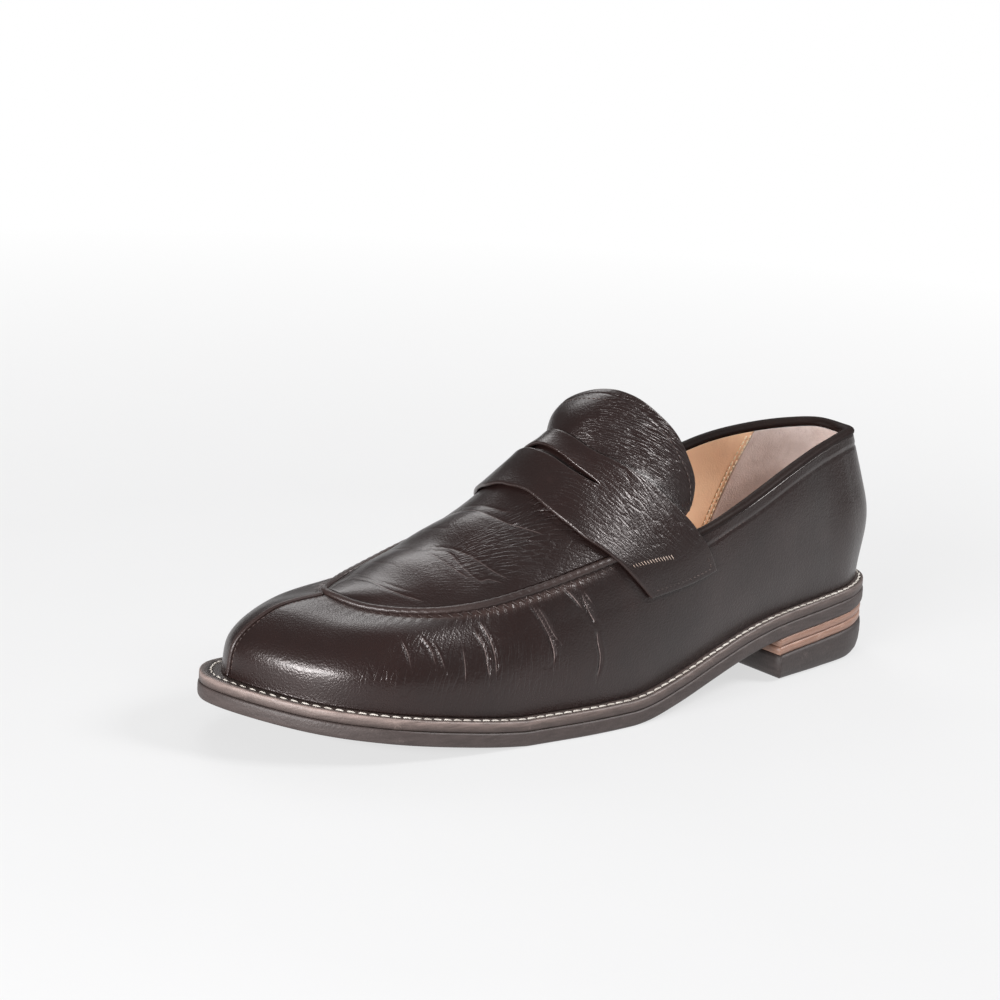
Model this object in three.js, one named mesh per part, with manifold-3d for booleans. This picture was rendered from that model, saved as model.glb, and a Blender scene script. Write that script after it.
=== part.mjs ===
// Penny loafer, left shoe. Millimetres, +Z up, toe towards -Y, outer (lateral) side towards +X.
// A place on the shoe is worked out as (x, t, z), where t runs from the back of the heel to the toe.
import * as THREE from "three";
import Module from "manifold-3d";

const wasm = await Module();
wasm.setup();

// ---- sizes ----
const gap = 0.3; // clearance between touching pieces
const soleLength = 307.2;
const lengthScale = 1; // stretches every station along the shoe
const widthScale = 1; // stretches every station across the shoe
const outsoleThick = 5.6;
const weltThick = 3.6;
const weltReach = 9; // how far the welt runs in under the upper
const heelLength = 68;
const liftThick = 3.3;
const leather = 1.4;
const liningThick = 0.9;
const stiffenerThick = 1.0;
const strapThick = 1.6;
const tongueThick = 1.3;
const insoleThick = 3.2;
const sockThick = 1.2;
const ribThick = 1.8;
const beadRadius = 1.25;
const bindingWide = 1.9;
const bindingHigh = 1.5;
const threadRadius = 0.4;
const stitchPlace = 0.58; // welt stitch line, as a share of the welt's reach
const shankThick = 1.5;
const shankWide = 15;
const nailRadius = 1.1;
const nailCount = 5;
const slotHalf = 1.7; // half the gape of the strap slot
const slotPlace = 0.6; // how far back across the strap the slot lies
const seatRise = 0.3 + outsoleThick + 0.3 + weltThick; // welt top above the outsole's underside

// Height of the outsole's underside above the ground, along the shoe.
const soleHeights = [[0, 21.3], [30, 19.6], [68, 17.4], [85, 15.2], [110, 9.6], [130, 4.4], [150, 0.4], [156, 0],
  [206, 0], [212, 0.5], [235, 3.4], [262, 7.2], [285, 10.2], [310, 14.4]];
// Height and sideways place of the ridge of the upper, from the tongue to the front of the apron.
const ridgeLine = [[96, 150, 2], [118, 134, 2], [141, 116.5, 1], [150, 108.5, 1], [159, 101.8, 0.5], [171, 95, 0],
  [179, 87.5, 0], [187, 80.5, 0], [195, 75, -0.5], [208, 67.8, -1], [222, 61, -2.5], [237, 55.6, -4.5],
  [250, 52, -7], [262, 50.6, -9.4]];
// Stations round the shoe, from the heel's back by the lateral side to the toe and home by the medial side.
// Each holds the outsole's edge (x, t), the welt's reach past the upper, and the seam (x, t, z) above it.
const stations = [
  [0, 0, 3.6, 0.4, 9.4, 90.4],
  [14, 3.6, 3.6, 9.6, 13.4, 91.2],
  [24.5, 17, 3.6, 15.2, 25, 90.8],
  [30, 38, 3.8, 20.8, 41, 88.8],
  [34, 60, 4, 27, 60, 84.9],
  [40.8, 95, 4.4, 34.8, 95, 74.4],
  [46, 122, 4.6, 38.4, 120, 68.6],
  [50.2, 150, 5, 40.2, 150, 66.2],
  [51.5, 175, 5.2, 40.2, 174, 61.6],
  [50.2, 203, 5.4, 37.2, 200, 55.6],
  [48.6, 233, 5.8, 31.5, 221, 51],
  [41.5, 266, 6.4, 21.5, 238, 48.6],
  [20.6, 293, 7.6, 6, 252.6, 48.4],
  [-15.2, 307.2, 9, -9.4, 258.4, 50.4],
  [-37, 292.5, 7.4, -19.6, 251.4, 48.4],
  [-47.6, 266, 6.2, -28.4, 238, 48.6],
  [-50.8, 233, 5.8, -33.6, 221, 51],
  [-49.2, 203, 5.4, -36.4, 200, 55.6],
  [-44, 175, 5, -36.4, 174, 61.6],
  [-38.4, 150, 4.6, -34.6, 150, 66.2],
  [-34.4, 122, 4.2, -32.2, 120, 68.6],
  [-32.4, 95, 4, -31, 95, 74.4],
  [-32.4, 60, 4, -27.6, 60, 84.9],
  [-30.6, 38, 3.8, -22.6, 41, 88.8],
  [-25, 17, 3.6, -16.4, 25, 90.8],
  [-14.2, 3.6, 3.6, -9.6, 13.2, 91.2],
];
const lateralNotch = 5.93; // stations where the strap meets the topline, and where the toe seam stands
const toeStation = 13;
const medialNotch = 20.07;
const count = stations.length;

// Strap edges: places over the rib (3 lateral seam, 5 ridge, 7 medial seam) with front and back t.
const strapEdges = [[1.86, 146, 110.5], [2.5, 156, 115], [3, 164, 121], [3.45, 174, 135], [4, 179.4, 150],
  [4.5, 181, 156.5], [5, 183, 158.5], [5.5, 183, 157], [6, 180.6, 152], [6.55, 174, 139], [7, 164, 121],
  [7.5, 156, 115], [8.14, 146, 110.5]];
// Free edge of the tongue, from the medial side over the top to the lateral side (x, t, z).
const tongueEdge = [[-31, 118.5, 74.4], [-30.5, 120, 80], [-29.6, 124.5, 88], [-27.6, 131.5, 96], [-24, 138, 103.2],
  [-19, 142, 108.8], [-13, 142.6, 112.8], [-6, 141, 116.2], [1, 139.4, 118.2], [8, 137.6, 118.8], [14.6, 133.6, 116.8],
  [19.8, 127.6, 111.4], [23.8, 121, 103.8], [26.8, 116.4, 94.4], [28.8, 114, 85.9], [30.4, 115.6, 78.8], [32, 119, 74.2]];

// ---- small helpers ----
const mix = (a, b, k) => a + (b - a) * k;
const clamp = (v, lo, hi) => Math.min(hi, Math.max(lo, v));
const ease = (a, b, v) => {
  const k = clamp((v - a) / (b - a), 0, 1);
  return k * k * (3 - 2 * k);
};

// A place (x, t, z) as a point of the part, toe towards -Y.
function at(x, t, z) {
  return new THREE.Vector3(x * widthScale, (soleLength / 2 - t) * lengthScale, z);
}

// A smooth function through rows of [t, value], which never swings past its points.
function through(rows, column = 1) {
  const slopes = rows.slice(1).map((r, i) => (r[column] - rows[i][column]) / (r[0] - rows[i][0]));
  const tangents = rows.map((r, i) => {
    const a = slopes[i - 1] ?? slopes[i];
    const b = slopes[i] ?? slopes[i - 1];
    return a * b > 0 ? (2 * a * b) / (a + b) : 0;
  });
  return (t) => {
    let i = 0;
    while (i < rows.length - 2 && t > rows[i + 1][0]) i++;
    const step = rows[i + 1][0] - rows[i][0];
    const k = clamp((t - rows[i][0]) / step, 0, 1);
    const [p, q] = [rows[i][column], rows[i + 1][column]];
    const [a, b] = [tangents[i] * step, tangents[i + 1] * step];
    return p + k * (a + k * (3 * (q - p) - 2 * a - b + k * (a + b - 2 * (q - p))));
  };
}

function ring(points) {
  return new THREE.CatmullRomCurve3(points, true, "centripetal");
}

function line(points) {
  return new THREE.CatmullRomCurve3(points, false, "centripetal");
}

// ---- solids ----
// Joins closed sections, each half of one face and half of the other, into one body.
function loft(sections, closed = false) {
  const n = sections[0].length;
  const faces = [];
  const quad = (a, b, c, d) => faces.push([a, b, c], [a, c, d]);
  const rows = closed ? sections.length : sections.length - 1;
  for (let i = 0; i < rows; i++) {
    const j = (i + 1) % sections.length;
    for (let k = 0; k < n; k++) {
      const [a, b, c, d] = [i * n + k, i * n + ((k + 1) % n), j * n + ((k + 1) % n), j * n + k];
      if (k < n / 2) quad(a, b, c, d);
      else quad(b, c, d, a); // the far face is split along the same lines as the near one
    }
  }
  if (!closed) {
    const last = (sections.length - 1) * n;
    for (let k = 0; k < n / 2 - 1; k++) {
      quad(k + 1, k, n - 1 - k, n - 2 - k);
      quad(last + k, last + k + 1, last + n - 2 - k, last + n - 1 - k);
    }
  }
  const points = sections.flat();
  let volume = 0;
  for (const [a, b, c] of faces) volume += points[a].dot(new THREE.Vector3().crossVectors(points[b], points[c]));
  if (volume < 0) for (const face of faces) face.reverse();
  return new wasm.Manifold(new wasm.Mesh({
    numProp: 3,
    vertProperties: new Float32Array(points.flatMap((p) => [p.x, p.y, p.z])),
    triVerts: new Uint32Array(faces.flat()),
  }));
}

function geometryOf(solid) {
  const mesh = solid.getMesh();
  return new THREE.BufferGeometry()
    .setAttribute("position", new THREE.BufferAttribute(new Float32Array(mesh.vertProperties), 3))
    .setIndex(new THREE.BufferAttribute(new Uint32Array(mesh.triVerts), 1));
}

const spread = (a, b, n) => Array.from({ length: n + 1 }, (_, i) => mix(a, b, i / n));

// ---- sole outlines ----
const soleUnder = through(soleHeights);
const seatZ = (t) => soleUnder(t) + seatRise;
const edgeRing = ring(stations.map(([x, t]) => at(x, t, 0)));
const seamRing = ring(stations.map((s) => at(s[3], s[4], s[5])));

function outwardAt(station) {
  const along = edgeRing.getTangent((((station % count) + count) % count) / count);
  return new THREE.Vector3(-along.y, along.x, 0).normalize();
}

// The t of a point of the part.
const tOf = (p) => soleLength / 2 - p.y / lengthScale;

// The outsole's edge drawn in by a distance, which may vary by station.
function inset(distance) {
  return spread(0, count, count * 6).slice(0, -1).map((s) => {
    const away = typeof distance === "function" ? distance(s) : distance;
    return edgeRing.getPoint(s / count).addScaledVector(outwardAt(s), -away);
  });
}

const reachRows = [...stations.map((s, i) => [i, s[2]]), [count, stations[0][2]]];
const reach = through(reachRows);

// A plate between two heights, both functions of t, cut across into rows.
function plate(outline, low, high, from, to, rows = 26, columns = 3) {
  const ts = outline.map(tOf);
  const first = Math.max(from, Math.min(...ts) + 0.25);
  const last = Math.min(to, Math.max(...ts) - 0.25);
  const cross = (t) => {
    const hits = [];
    outline.forEach((p, i) => {
      const q = outline[(i + 1) % outline.length];
      const [a, b] = [ts[i], ts[(i + 1) % outline.length]];
      if (a <= t !== b <= t) hits.push(mix(p.x, q.x, (t - a) / (b - a)));
    });
    return [Math.min(...hits), Math.max(...hits)];
  };
  const sections = spread(0, 1, rows).map((k) => {
    const eased = mix(k, (1 - Math.cos(Math.PI * k)) / 2, 0.75);
    const t = mix(first, last, eased);
    const [left, right] = cross(t);
    const xs = spread(left, right, columns);
    const y = (soleLength / 2 - t) * lengthScale;
    return [...xs.map((x) => new THREE.Vector3(x, y, high(t))),
      ...xs.reverse().map((x) => new THREE.Vector3(x, y, low(t)))];
  });
  return loft(sections);
}

// A closed frame between two outlines, such as the welt.
function frame(outer, inner, low, high, step = 3) {
  const sections = [];
  for (let i = 0; i < outer.length; i += step) {
    const [o, n] = [outer[i], inner[i]];
    const [a, b] = [tOf(o), tOf(n)];
    sections.push([new THREE.Vector3(o.x, o.y, high(a)), new THREE.Vector3(n.x, n.y, high(b)),
      new THREE.Vector3(n.x, n.y, low(b)), new THREE.Vector3(o.x, o.y, low(a))]);
  }
  return loft(sections, true);
}

// ---- the upper's surface ----
const ridgeZ = through(ridgeLine);
const ridgeX = through(ridgeLine, 2);
const ridgePoint = (t) => at(ridgeX(t), t, ridgeZ(t));

// The swell of the instep between a seam and the ridge.
function crown(seam, ridge) {
  const p = seam.clone().lerp(ridge, 0.52);
  p.z += seam.distanceTo(ridge) * mix(0.125, 0.07, ease(150, 235, tOf(seam)));
  return p;
}

// Five points up one side of the upper: seat edge, two of the wall, seam, and one on towards the ridge.
function ribPoints(station) {
  const s = ((station % count) + count) % count;
  const edge = edgeRing.getPoint(s / count);
  const out = outwardAt(s);
  const foot = edge.clone().addScaledVector(out, -reach(s));
  foot.z = seatZ(tOf(foot)) + gap;
  const seam = seamRing.getPoint(s / count);
  const dome = ease(205, 285, tOf(foot));
  const waist = Math.exp(-(((tOf(foot) - 110) / 40) ** 2));
  const rise = (across, up, swell) => {
    const p = foot.clone().lerp(seam, across).addScaledVector(out, swell);
    p.z = mix(foot.z, seam.z, up);
    return p;
  };
  const low = rise(mix(0.3, 0.1, dome), mix(0.33, 0.47, dome), mix(3.0 - 1.2 * waist, 1.2, dome));
  const high = rise(mix(0.66, 0.46, dome), mix(0.67, 0.86, dome), mix(2.9 - 0.9 * waist, 1.0, dome));
  const seamT = tOf(seam);
  const straight = seam.clone().multiplyScalar(1.6).addScaledVector(high, -0.6);
  const next = straight.lerp(crown(seam, ridgePoint(Math.min(seamT, 246))), ease(96, 140, seamT));
  return { foot, low, high, seam, next };
}

// The outside of the wall: station round the shoe, and height from 0 at the welt to 1 at the seam.
const ribCache = new Map();
function wallRib(station) {
  const key = station.toFixed(4);
  if (!ribCache.has(key)) {
    const r = ribPoints(station);
    ribCache.set(key, line([r.foot, r.low, r.high, r.seam, r.next]));
  }
  return ribCache.get(key);
}
const wall = (station, up) => wallRib(station).getPoint((up * 3) / 4);

// The station on one side whose seam is at t.
function stationAt(t, side) {
  let [lo, hi] = [0.2, toeStation];
  for (let i = 0; i < 30; i++) {
    const mid = (lo + hi) / 2;
    const seam = seamRing.getPoint((side > 0 ? mid : count - mid) / count);
    if (tOf(seam) < t) lo = mid;
    else hi = mid;
  }
  return side > 0 ? lo : count - lo;
}

// The outside over the instep and forefoot: t along, s from 0 (lateral welt) by 5 (ridge) to 10 (medial welt).
const archCache = new Map();
function archRib(t) {
  const key = t.toFixed(3);
  if (!archCache.has(key)) {
    const [a, b] = [ribPoints(stationAt(t, 1)), ribPoints(stationAt(t, -1))];
    const ridge = ridgePoint(t);
    archCache.set(key, line([a.foot, a.low, a.high, a.seam, crown(a.seam, ridge), ridge,
      crown(b.seam, ridge), b.seam, b.high, b.low, b.foot]));
  }
  return archCache.get(key);
}
const arch = (t, s) => archRib(t).getPoint(s / 10);

// Moves a place on a surface out along its normal, away from the foot.
function lifted(surface, a, b, stepA, stepB, distance) {
  const p = surface(a, b);
  const da = surface(a + stepA, b).sub(surface(a - stepA, b));
  const db = surface(a, b + stepB).sub(surface(a, b - stepB));
  const normal = da.cross(db).normalize();
  const inside = at(0, clamp(tOf(p), 34, 246), Math.min(p.z, 40));
  if (normal.dot(p.clone().sub(inside)) < 0) normal.negate();
  return p.addScaledVector(normal, distance);
}

// A sheet of even thickness over part of the wall.
// Every sheet shares these heights and thirds of a station, so that one lies truly inside the next.
const wallUps = [0.33, 0.48, 0.64, 0.8];
function stationsOver(from, to) {
  const thirds = [];
  for (let k = Math.ceil(from * 3 + 0.2); k < to * 3 - 0.2; k++) thirds.push(k / 3);
  return [from, ...thirds, to];
}

function wallSheet(stationFrom, stationTo, low, high, outside, inside) {
  return loft(stationsOver(stationFrom, stationTo).map((s) => {
    const ups = [low(s), ...wallUps.filter((v) => v < high - 0.05), high];
    return [...ups.map((v) => lifted(wall, s, v, 0.02, 0.01, -outside(s))),
      ...ups.reverse().map((v) => lifted(wall, s, v, 0.02, 0.01, -inside(s)))];
  }));
}

// A sheet over the arch, from a back edge that follows the strap to a front, narrowed by a margin at each seam.
function archSheet(ks, back, front, margin, outside, inside, columns) {
  return loft(ks.map((k) => {
    const across = spread(3, 7, columns);
    const place = (sFull, d) => {
      const t = mix(back(sFull), front, k);
      const trim = margin / Math.max(arch(t, 4).distanceTo(arch(t, 3)), 1);
      const s = mix(3 + trim, 7 - trim, (sFull - 3) / 4);
      return lifted(arch, t, s, 0.4, 0.04, -d);
    };
    return [...across.map((s) => place(s, outside)), ...across.reverse().map((s) => place(s, inside))];
  }));
}

// A rod of oval section along points, whose frame is given with each point.
function rod(places, wide, high, sides = 6, closed = false) {
  return loft(places.map(({ p, across, up }) => spread(0, 2 * Math.PI, sides).slice(0, -1).map((angle) =>
    p.clone()
      .addScaledVector(across, wide * Math.cos(angle + Math.PI / sides))
      .addScaledVector(up, high * Math.sin(angle + Math.PI / sides)))), closed);
}

function framesAlong(points, upOf) {
  return points.map((p, i) => {
    const along = points[Math.min(i + 1, points.length - 1)].clone().sub(points[Math.max(i - 1, 0)]).normalize();
    const up = upOf(i, p).clone().addScaledVector(along, -along.dot(upOf(i, p))).normalize();
    return { p, up, across: new THREE.Vector3().crossVectors(along, up) };
  });
}

// ---- materials ----
const looks = {
  upperLeather: [0x2e201b, 0.42],
  liningLeather: [0xc79a68, 0.7],
  heelSuede: [0xb9a08e, 0.95],
  stiffener: [0xd8cfbe, 0.9],
  insoleBoard: [0xa9805a, 0.85],
  rib: [0xe2ddd0, 0.9],
  cork: [0x9a7148, 0.95],
  steel: [0x8d9094, 0.4],
  welt: [0x7a5a48, 0.6],
  thread: [0xd8d0c4, 0.8],
  darkThread: [0x5a3f33, 0.8],
  outsole: [0x3a2b27, 0.75],
  stackedLeather: [0xa8693f, 0.6],
  rubber: [0x2b2422, 0.85],
};
const group = new THREE.Group();

function add(name, solid, look) {
  const [color, roughness] = looks[look];
  const metalness = look === "steel" ? 1 : 0;
  const mesh = new THREE.Mesh(geometryOf(solid), new THREE.MeshStandardMaterial({ color, roughness, metalness }));
  mesh.name = name;
  group.add(mesh);
}

// ---- the bottom ----
const outsoleTop = (t) => soleUnder(t) + outsoleThick;
const weltLow = (t) => outsoleTop(t) + gap;
const weltHigh = (t) => seatZ(t);
// 1 at the toe tip, fading to 0 along each side, where the turned-in edges narrow so that they don't meet.
const tip = (s) => Math.exp(-(((s - toeStation) / 1.3) ** 2));
const innerReach = (s) => reach(s) + weltReach * (1 - 0.5 * tip(s));
const ribOut = (s) => innerReach(s) + gap;
const ribIn = (s) => ribOut(s) + ribThick;

const heelLine = (z) => heelLength - 0.08 * (18 - z);
const heelPlan = inset(0.6);
const liftOneLow = (t) => soleUnder(t) - gap - liftThick;
const liftTwoLow = (t) => liftOneLow(t) - gap - liftThick;
const nailPlaces = spread(0, 1, nailCount - 1).map((k) => {
  const angle = mix(-0.25, 1.25, k) * Math.PI;
  return [1 + 17 * Math.cos(angle), 34 - 19 * Math.sin(angle)];
});

function nail(x, t, radius, low, high) {
  const p = at(x, t, 0);
  const circle = (z) => spread(0, 2 * Math.PI, 8).slice(0, -1).map((a) =>
    new THREE.Vector3(p.x + radius * Math.cos(a), p.y + radius * Math.sin(a), z));
  return loft([circle(low), circle(high)]);
}

function drilled(solid) {
  return nailPlaces.reduce((made, [x, t]) => made.subtract(nail(x, t, nailRadius + gap, 5.7, 40)), solid);
}

function heelBlock(outline, low, high) {
  return drilled(plate(outline, low, high, 0, heelLine(high(heelLength)), 12, 3));
}

add("outsole", drilled(plate(inset(0), soleUnder, outsoleTop, 0, 400, 38, 3)), "outsole");
add("heel_lift_upper", heelBlock(heelPlan, liftOneLow, (t) => soleUnder(t) - gap), "stackedLeather");
add("heel_lift_lower", heelBlock(heelPlan, liftTwoLow, (t) => liftOneLow(t) - gap), "stackedLeather");
add("top_lift", heelBlock(inset(0.5), () => 0, (t) => liftTwoLow(t) - gap), "rubber");
nailPlaces.forEach(([x, t], i) => {
  add(`heel_nail_${i + 1}`, nail(x, t, nailRadius, 6, outsoleTop(t) - 0.3), "steel");
});
add("welt", frame(inset(0.4), inset(innerReach), weltLow, weltHigh), "welt");

const flangeTop = (t) => seatZ(t) + gap + leather;
const insoleLow = (t) => flangeTop(t) + gap;
const insoleHigh = (t) => insoleLow(t) + insoleThick;
const sockLow = (t) => insoleHigh(t) + gap;
const sockHigh = (t) => sockLow(t) + sockThick;
add("insole_rib", frame(inset(ribOut), inset(ribIn), weltLow, (t) => insoleLow(t) - gap), "rib");

const cavity = inset((s) => ribIn(s) + 2 * gap);
const fillerTop = (t) => insoleLow(t) - 2 * gap;
add("cork_filler", plate(cavity, weltLow, fillerTop, 136, 400, 14, 2), "cork");
add("shank", plate(cavity.map((p) => new THREE.Vector3(clamp(p.x - 1, -shankWide / 2, shankWide / 2) + 1, p.y, 0)),
  (t) => weltLow(t) + 0.6, (t) => weltLow(t) + 0.6 + shankThick, 42, 133, 14, 1), "steel");

function weltThread() {
  const outline = inset((s) => reach(s) * stitchPlace);
  const points = outline.filter((_, i) => i % 3 === 0).map((p) => {
    const q = p.clone();
    q.z = weltHigh(tOf(p)) + gap + threadRadius;
    return q;
  });
  const up = new THREE.Vector3(0, 0, 1);
  const places = points.map((p, i) => {
    const before = points[(i + points.length - 1) % points.length];
    const along = points[(i + 1) % points.length].clone().sub(before).normalize();
    return { p, up, across: new THREE.Vector3().crossVectors(along, up).normalize() };
  });
  return rod(places, threadRadius * 1.4, threadRadius, 4, true);
}
add("welt_stitching", weltThread(), "thread");

// ---- the upper ----
const wallTop = 0.955;
// Each side is one sheet from the heel seam to the toe seam, its edge turned in under the insole.
function sidePiece(from, to) {
  const foot = (s, d, z, reachIn) => {
    const edge = edgeRing.getPoint(s / count);
    const p = edge.addScaledVector(outwardAt(s), -(reach(s) + d + reachIn));
    p.z = seatZ(tOf(p)) + gap + z;
    return p;
  };
  return loft(stationsOver(from, to).map((s) => {
    const turnIn = 8 * (1 - 0.6 * tip(s));
    const ups = [0.03, 0.18, ...wallUps, wallTop];
    const outer = ups.map((v) => lifted(wall, s, v, 0.02, 0.01, 0));
    const inner = ups.map((v) => lifted(wall, s, v, 0.02, 0.01, -leather));
    inner[0].z = Math.max(inner[0].z, foot(s, 0, leather, 0).z + 0.3);
    return [foot(s, 0, 0, turnIn), foot(s, 0, 0, 0), ...outer, ...inner.reverse(), foot(s, leather, leather, 0),
      foot(s, 0, leather, turnIn)];
  }));
}
const seamGap = 0.036;
add("upper_side_lateral", sidePiece(seamGap, toeStation - seamGap), "upperLeather");
add("upper_side_medial", sidePiece(toeStation + seamGap, count - seamGap), "upperLeather");

// Room behind the leather: stiffeners at toe and heel, then the lining.
const toeFrom = 10 + 1 / 3;
const counterTo = 4 + 1 / 3;
const mirrored = (s) => count - s;
const liningOut = (s) => {
  const side = s > toeStation ? mirrored(s) : s;
  const heel = 1 - ease(counterTo + 0.2, counterTo + 1.4, side);
  const toe = ease(toeFrom - 1.4, toeFrom - 0.2, side);
  return leather + gap + (stiffenerThick + 2 * gap) * Math.max(heel, toe);
};
const liningIn = (s) => liningOut(s) + liningThick;
// Height fraction of the insole's top, where the lining stands.
const liningLow = (s) => {
  const { foot, seam } = ribPoints(s);
  return (leather + gap * 2 + insoleThick + sockThick * 0.4) / (seam.z - foot.z) + 0.02;
};
const stiffenerLow = (s) => {
  const { foot, seam } = ribPoints(s);
  return (leather + gap * 2 + 1.2) / (seam.z - foot.z) + 0.01;
};
const stiffOut = () => leather + gap;
const stiffIn = () => leather + gap + stiffenerThick;
const heelLiningEdge = 4;
const liningJoin = heelLiningEdge + 0.02;
add("heel_counter", wallSheet(-counterTo, counterTo, stiffenerLow, 0.72, stiffOut, stiffIn), "stiffener");
add("toe_puff", wallSheet(toeFrom, 2 * toeStation - toeFrom, stiffenerLow, 0.9, stiffOut, stiffIn), "stiffener");
add("heel_lining", wallSheet(-heelLiningEdge, heelLiningEdge, liningLow, wallTop, liningOut, liningIn),
  "heelSuede");
add("quarter_lining_lateral", wallSheet(liningJoin, toeStation - seamGap, liningLow, 0.93, liningOut, liningIn),
  "liningLeather");
add("quarter_lining_medial", wallSheet(toeStation + seamGap, count - liningJoin, liningLow, 0.93, liningOut,
  liningIn), "liningLeather");

const domed = (s) => ease(9, 12, s > toeStation ? mirrored(s) : s);
const insoleInset = (s) => reach(s) + leather + 2 * gap + 1.2 + domed(s) * 0.5 * insoleThick;
const sockInset = (s) => reach(s) + liningIn(s) + 1.5 + domed(s) * 0.4 * insoleThick;
add("insole", plate(inset(insoleInset), insoleLow, insoleHigh, 0, 400, 30, 3), "insoleBoard");
add("sock_liner", plate(inset(sockInset), sockLow, sockHigh, 0, 400, 28, 3), "liningLeather");

const strapFront = through(strapEdges);
const strapBack = through(strapEdges, 2);

// The apron runs from the front of the toe seam back under the strap.
const apronFront = stations[toeStation][4] - beadRadius - 1.1;
const apronMargin = beadRadius + 2 * gap;
const apronRows = [0, 0.1, 0.2, 0.3, 0.4, 0.5, 0.6, 0.7, 0.8, 0.87, 0.92, 0.955, 0.98, 1];
const apronBack = (s) => strapBack(s) + 2.5;
add("apron", archSheet(apronRows, apronBack, apronFront, apronMargin, 0, leather, 8), "upperLeather");
const apronUnder = leather + 2 * gap;
add("apron_lining", archSheet(apronRows.slice(0, -2), apronBack, apronFront, apronMargin, apronUnder,
  apronUnder + liningThick, 8), "liningLeather");

function apronBead() {
  const stationsRound = spread(stationAt(167, 1), stationAt(167, -1), 44);
  const points = stationsRound.map((s) => lifted(wall, s, 1, 0.02, 0.01, 0.2));
  return rod(framesAlong(points, (i, p) => lifted(wall, stationsRound[i], 1, 0.02, 0.01, 1.2).sub(p)),
    beadRadius, beadRadius, 6);
}
add("apron_seam", apronBead(), "upperLeather");

function toeBead() {
  const ups = spread(0.05, 0.9, 14);
  const points = ups.map((v) => wall(toeStation, v).addScaledVector(
    lifted(wall, toeStation, v, 0.02, 0.01, 1).sub(wall(toeStation, v)), 0.95));
  return rod(framesAlong(points, (i, p) => p.clone().sub(wall(toeStation, ups[i]))), 1.1, 0.6, 6);
}
add("toe_seam", toeBead(), "upperLeather");

function toplineBinding() {
  const round = spread(medialNotch, count + lateralNotch, 44);
  const places = round.map((s) => {
    const base = wall(s, 0.988);
    const up = wall(s, 0.99).sub(wall(s, 0.9)).normalize();
    const out = lifted(wall, s, 0.98, 0.02, 0.01, 1).sub(wall(s, 0.98)).normalize();
    const side = s % count;
    const middle = liningIn(side) / 2;
    return { p: base.addScaledVector(out, -middle + 0.35), up, across: out, wide: middle + 0.35 };
  });
  return loft(places.map(({ p, up, across, wide }) => spread(0, 2 * Math.PI, 6).slice(0, -1).map((a) =>
    p.clone().addScaledVector(across, wide * Math.cos(a)).addScaledVector(up, bindingHigh * Math.sin(a)))));
}
add("topline_binding", toplineBinding(), "upperLeather");

// The strap crosses the instep as a saddle, with a long slot on the ridge.
const strapEnds = [strapEdges[0][0], strapEdges[strapEdges.length - 1][0]];
const onStrap = (s, k, d) => lifted(arch, mix(strapFront(s), strapBack(s), k), s, 0.4, 0.04, d);
function strapPatch(sFrom, sTo, kFrom, kTo, low, high, columns, rows) {
  return loft(spread(sFrom, sTo, columns).map((s) => {
    const ks = spread(kFrom(s), kTo(s), rows);
    return [...ks.map((k) => onStrap(s, k, high)), ...ks.reverse().map((k) => onStrap(s, k, low))];
  }));
}
const slotEnds = [3.82, 6.02];
const slotGape = (s) => 0.004 + (slotHalf / 28) * Math.sqrt(Math.max(0, 1 - ((s - 4.92) / 1.11) ** 2));
const strapLift = 2 * gap;
const strapSolid = strapPatch(strapEnds[0], strapEnds[1], () => 0, () => 1, strapLift, strapLift + strapThick, 24, 4)
  .subtract(strapPatch(slotEnds[0], slotEnds[1], (s) => slotPlace - slotGape(s),
    (s) => slotPlace + slotGape(s), -2, 6, 14, 1));
add("strap", strapSolid, "upperLeather");

// Stitching round each end of the strap: along the lower edge, up both sides and across the bar.
function strapThread(end, bar) {
  const [low, high] = [mix(end, 5, 0.05), bar];
  const corners = [[high, 0.1], [low, 0.1], [low, 0.9], [high, 0.9]];
  const points = [];
  const ups = [];
  corners.slice(1).forEach(([s, k], i) => {
    spread(0, 1, 6).slice(i ? 1 : 0).forEach((m) => {
      const [sa, ka] = [mix(corners[i][0], s, m), mix(corners[i][1], k, m)];
      points.push(onStrap(sa, ka, strapLift + strapThick + gap + threadRadius));
      ups.push(onStrap(sa, ka, 9).sub(onStrap(sa, ka, 8)));
    });
  });
  return rod(framesAlong(points, (i) => ups[i]), threadRadius, threadRadius, 4);
}
add("strap_stitching_lateral", strapThread(strapEnds[0], 2.75), "darkThread");
add("strap_stitching_medial", strapThread(strapEnds[1], 7.25), "darkThread");

// The tongue stands up behind the strap and hinges on the strap's back edge.
const tongueOuter = line(tongueEdge.map(([x, t, z]) => at(x, t, z)));
const tongueClear = 1.6; // along the shoe, behind the strap
function tongueBase(a) {
  const s = 5 - a * 1.86;
  return lifted(arch, strapBack(s) - tongueClear, s, 0.4, 0.04, -0.4 - 2.4 * a ** 4);
}
function tongueSurface(a, w) {
  const [base, edge] = [tongueBase(a), tongueOuter.getPoint((a + 1) / 2)];
  const p = base.clone().lerp(edge, w);
  const swell = 2.0 * Math.sin(Math.PI * w) * (1 - a * a);
  return p.add(new THREE.Vector3(0, -0.7, 0.7).multiplyScalar(swell));
}
function tongueSheet(out, inn, from, to, side) {
  return loft(spread(-side, side, 18).map((a) => {
    const ws = spread(from, to, 4);
    const place = (w, d) => lifted(tongueSurface, clamp(a, -0.985, 0.985), clamp(w, 0.01, 0.99), 0.012, 0.01, -d);
    return [...ws.map((w) => place(w, out)), ...ws.reverse().map((w) => place(w, inn))];
  }));
}
add("tongue", tongueSheet(0, tongueThick, 0, 1, 1), "upperLeather");
add("tongue_lining", tongueSheet(tongueThick + gap, tongueThick + gap + liningThick, 0.06, 0.97, 0.96),
  "liningLeather");

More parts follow.
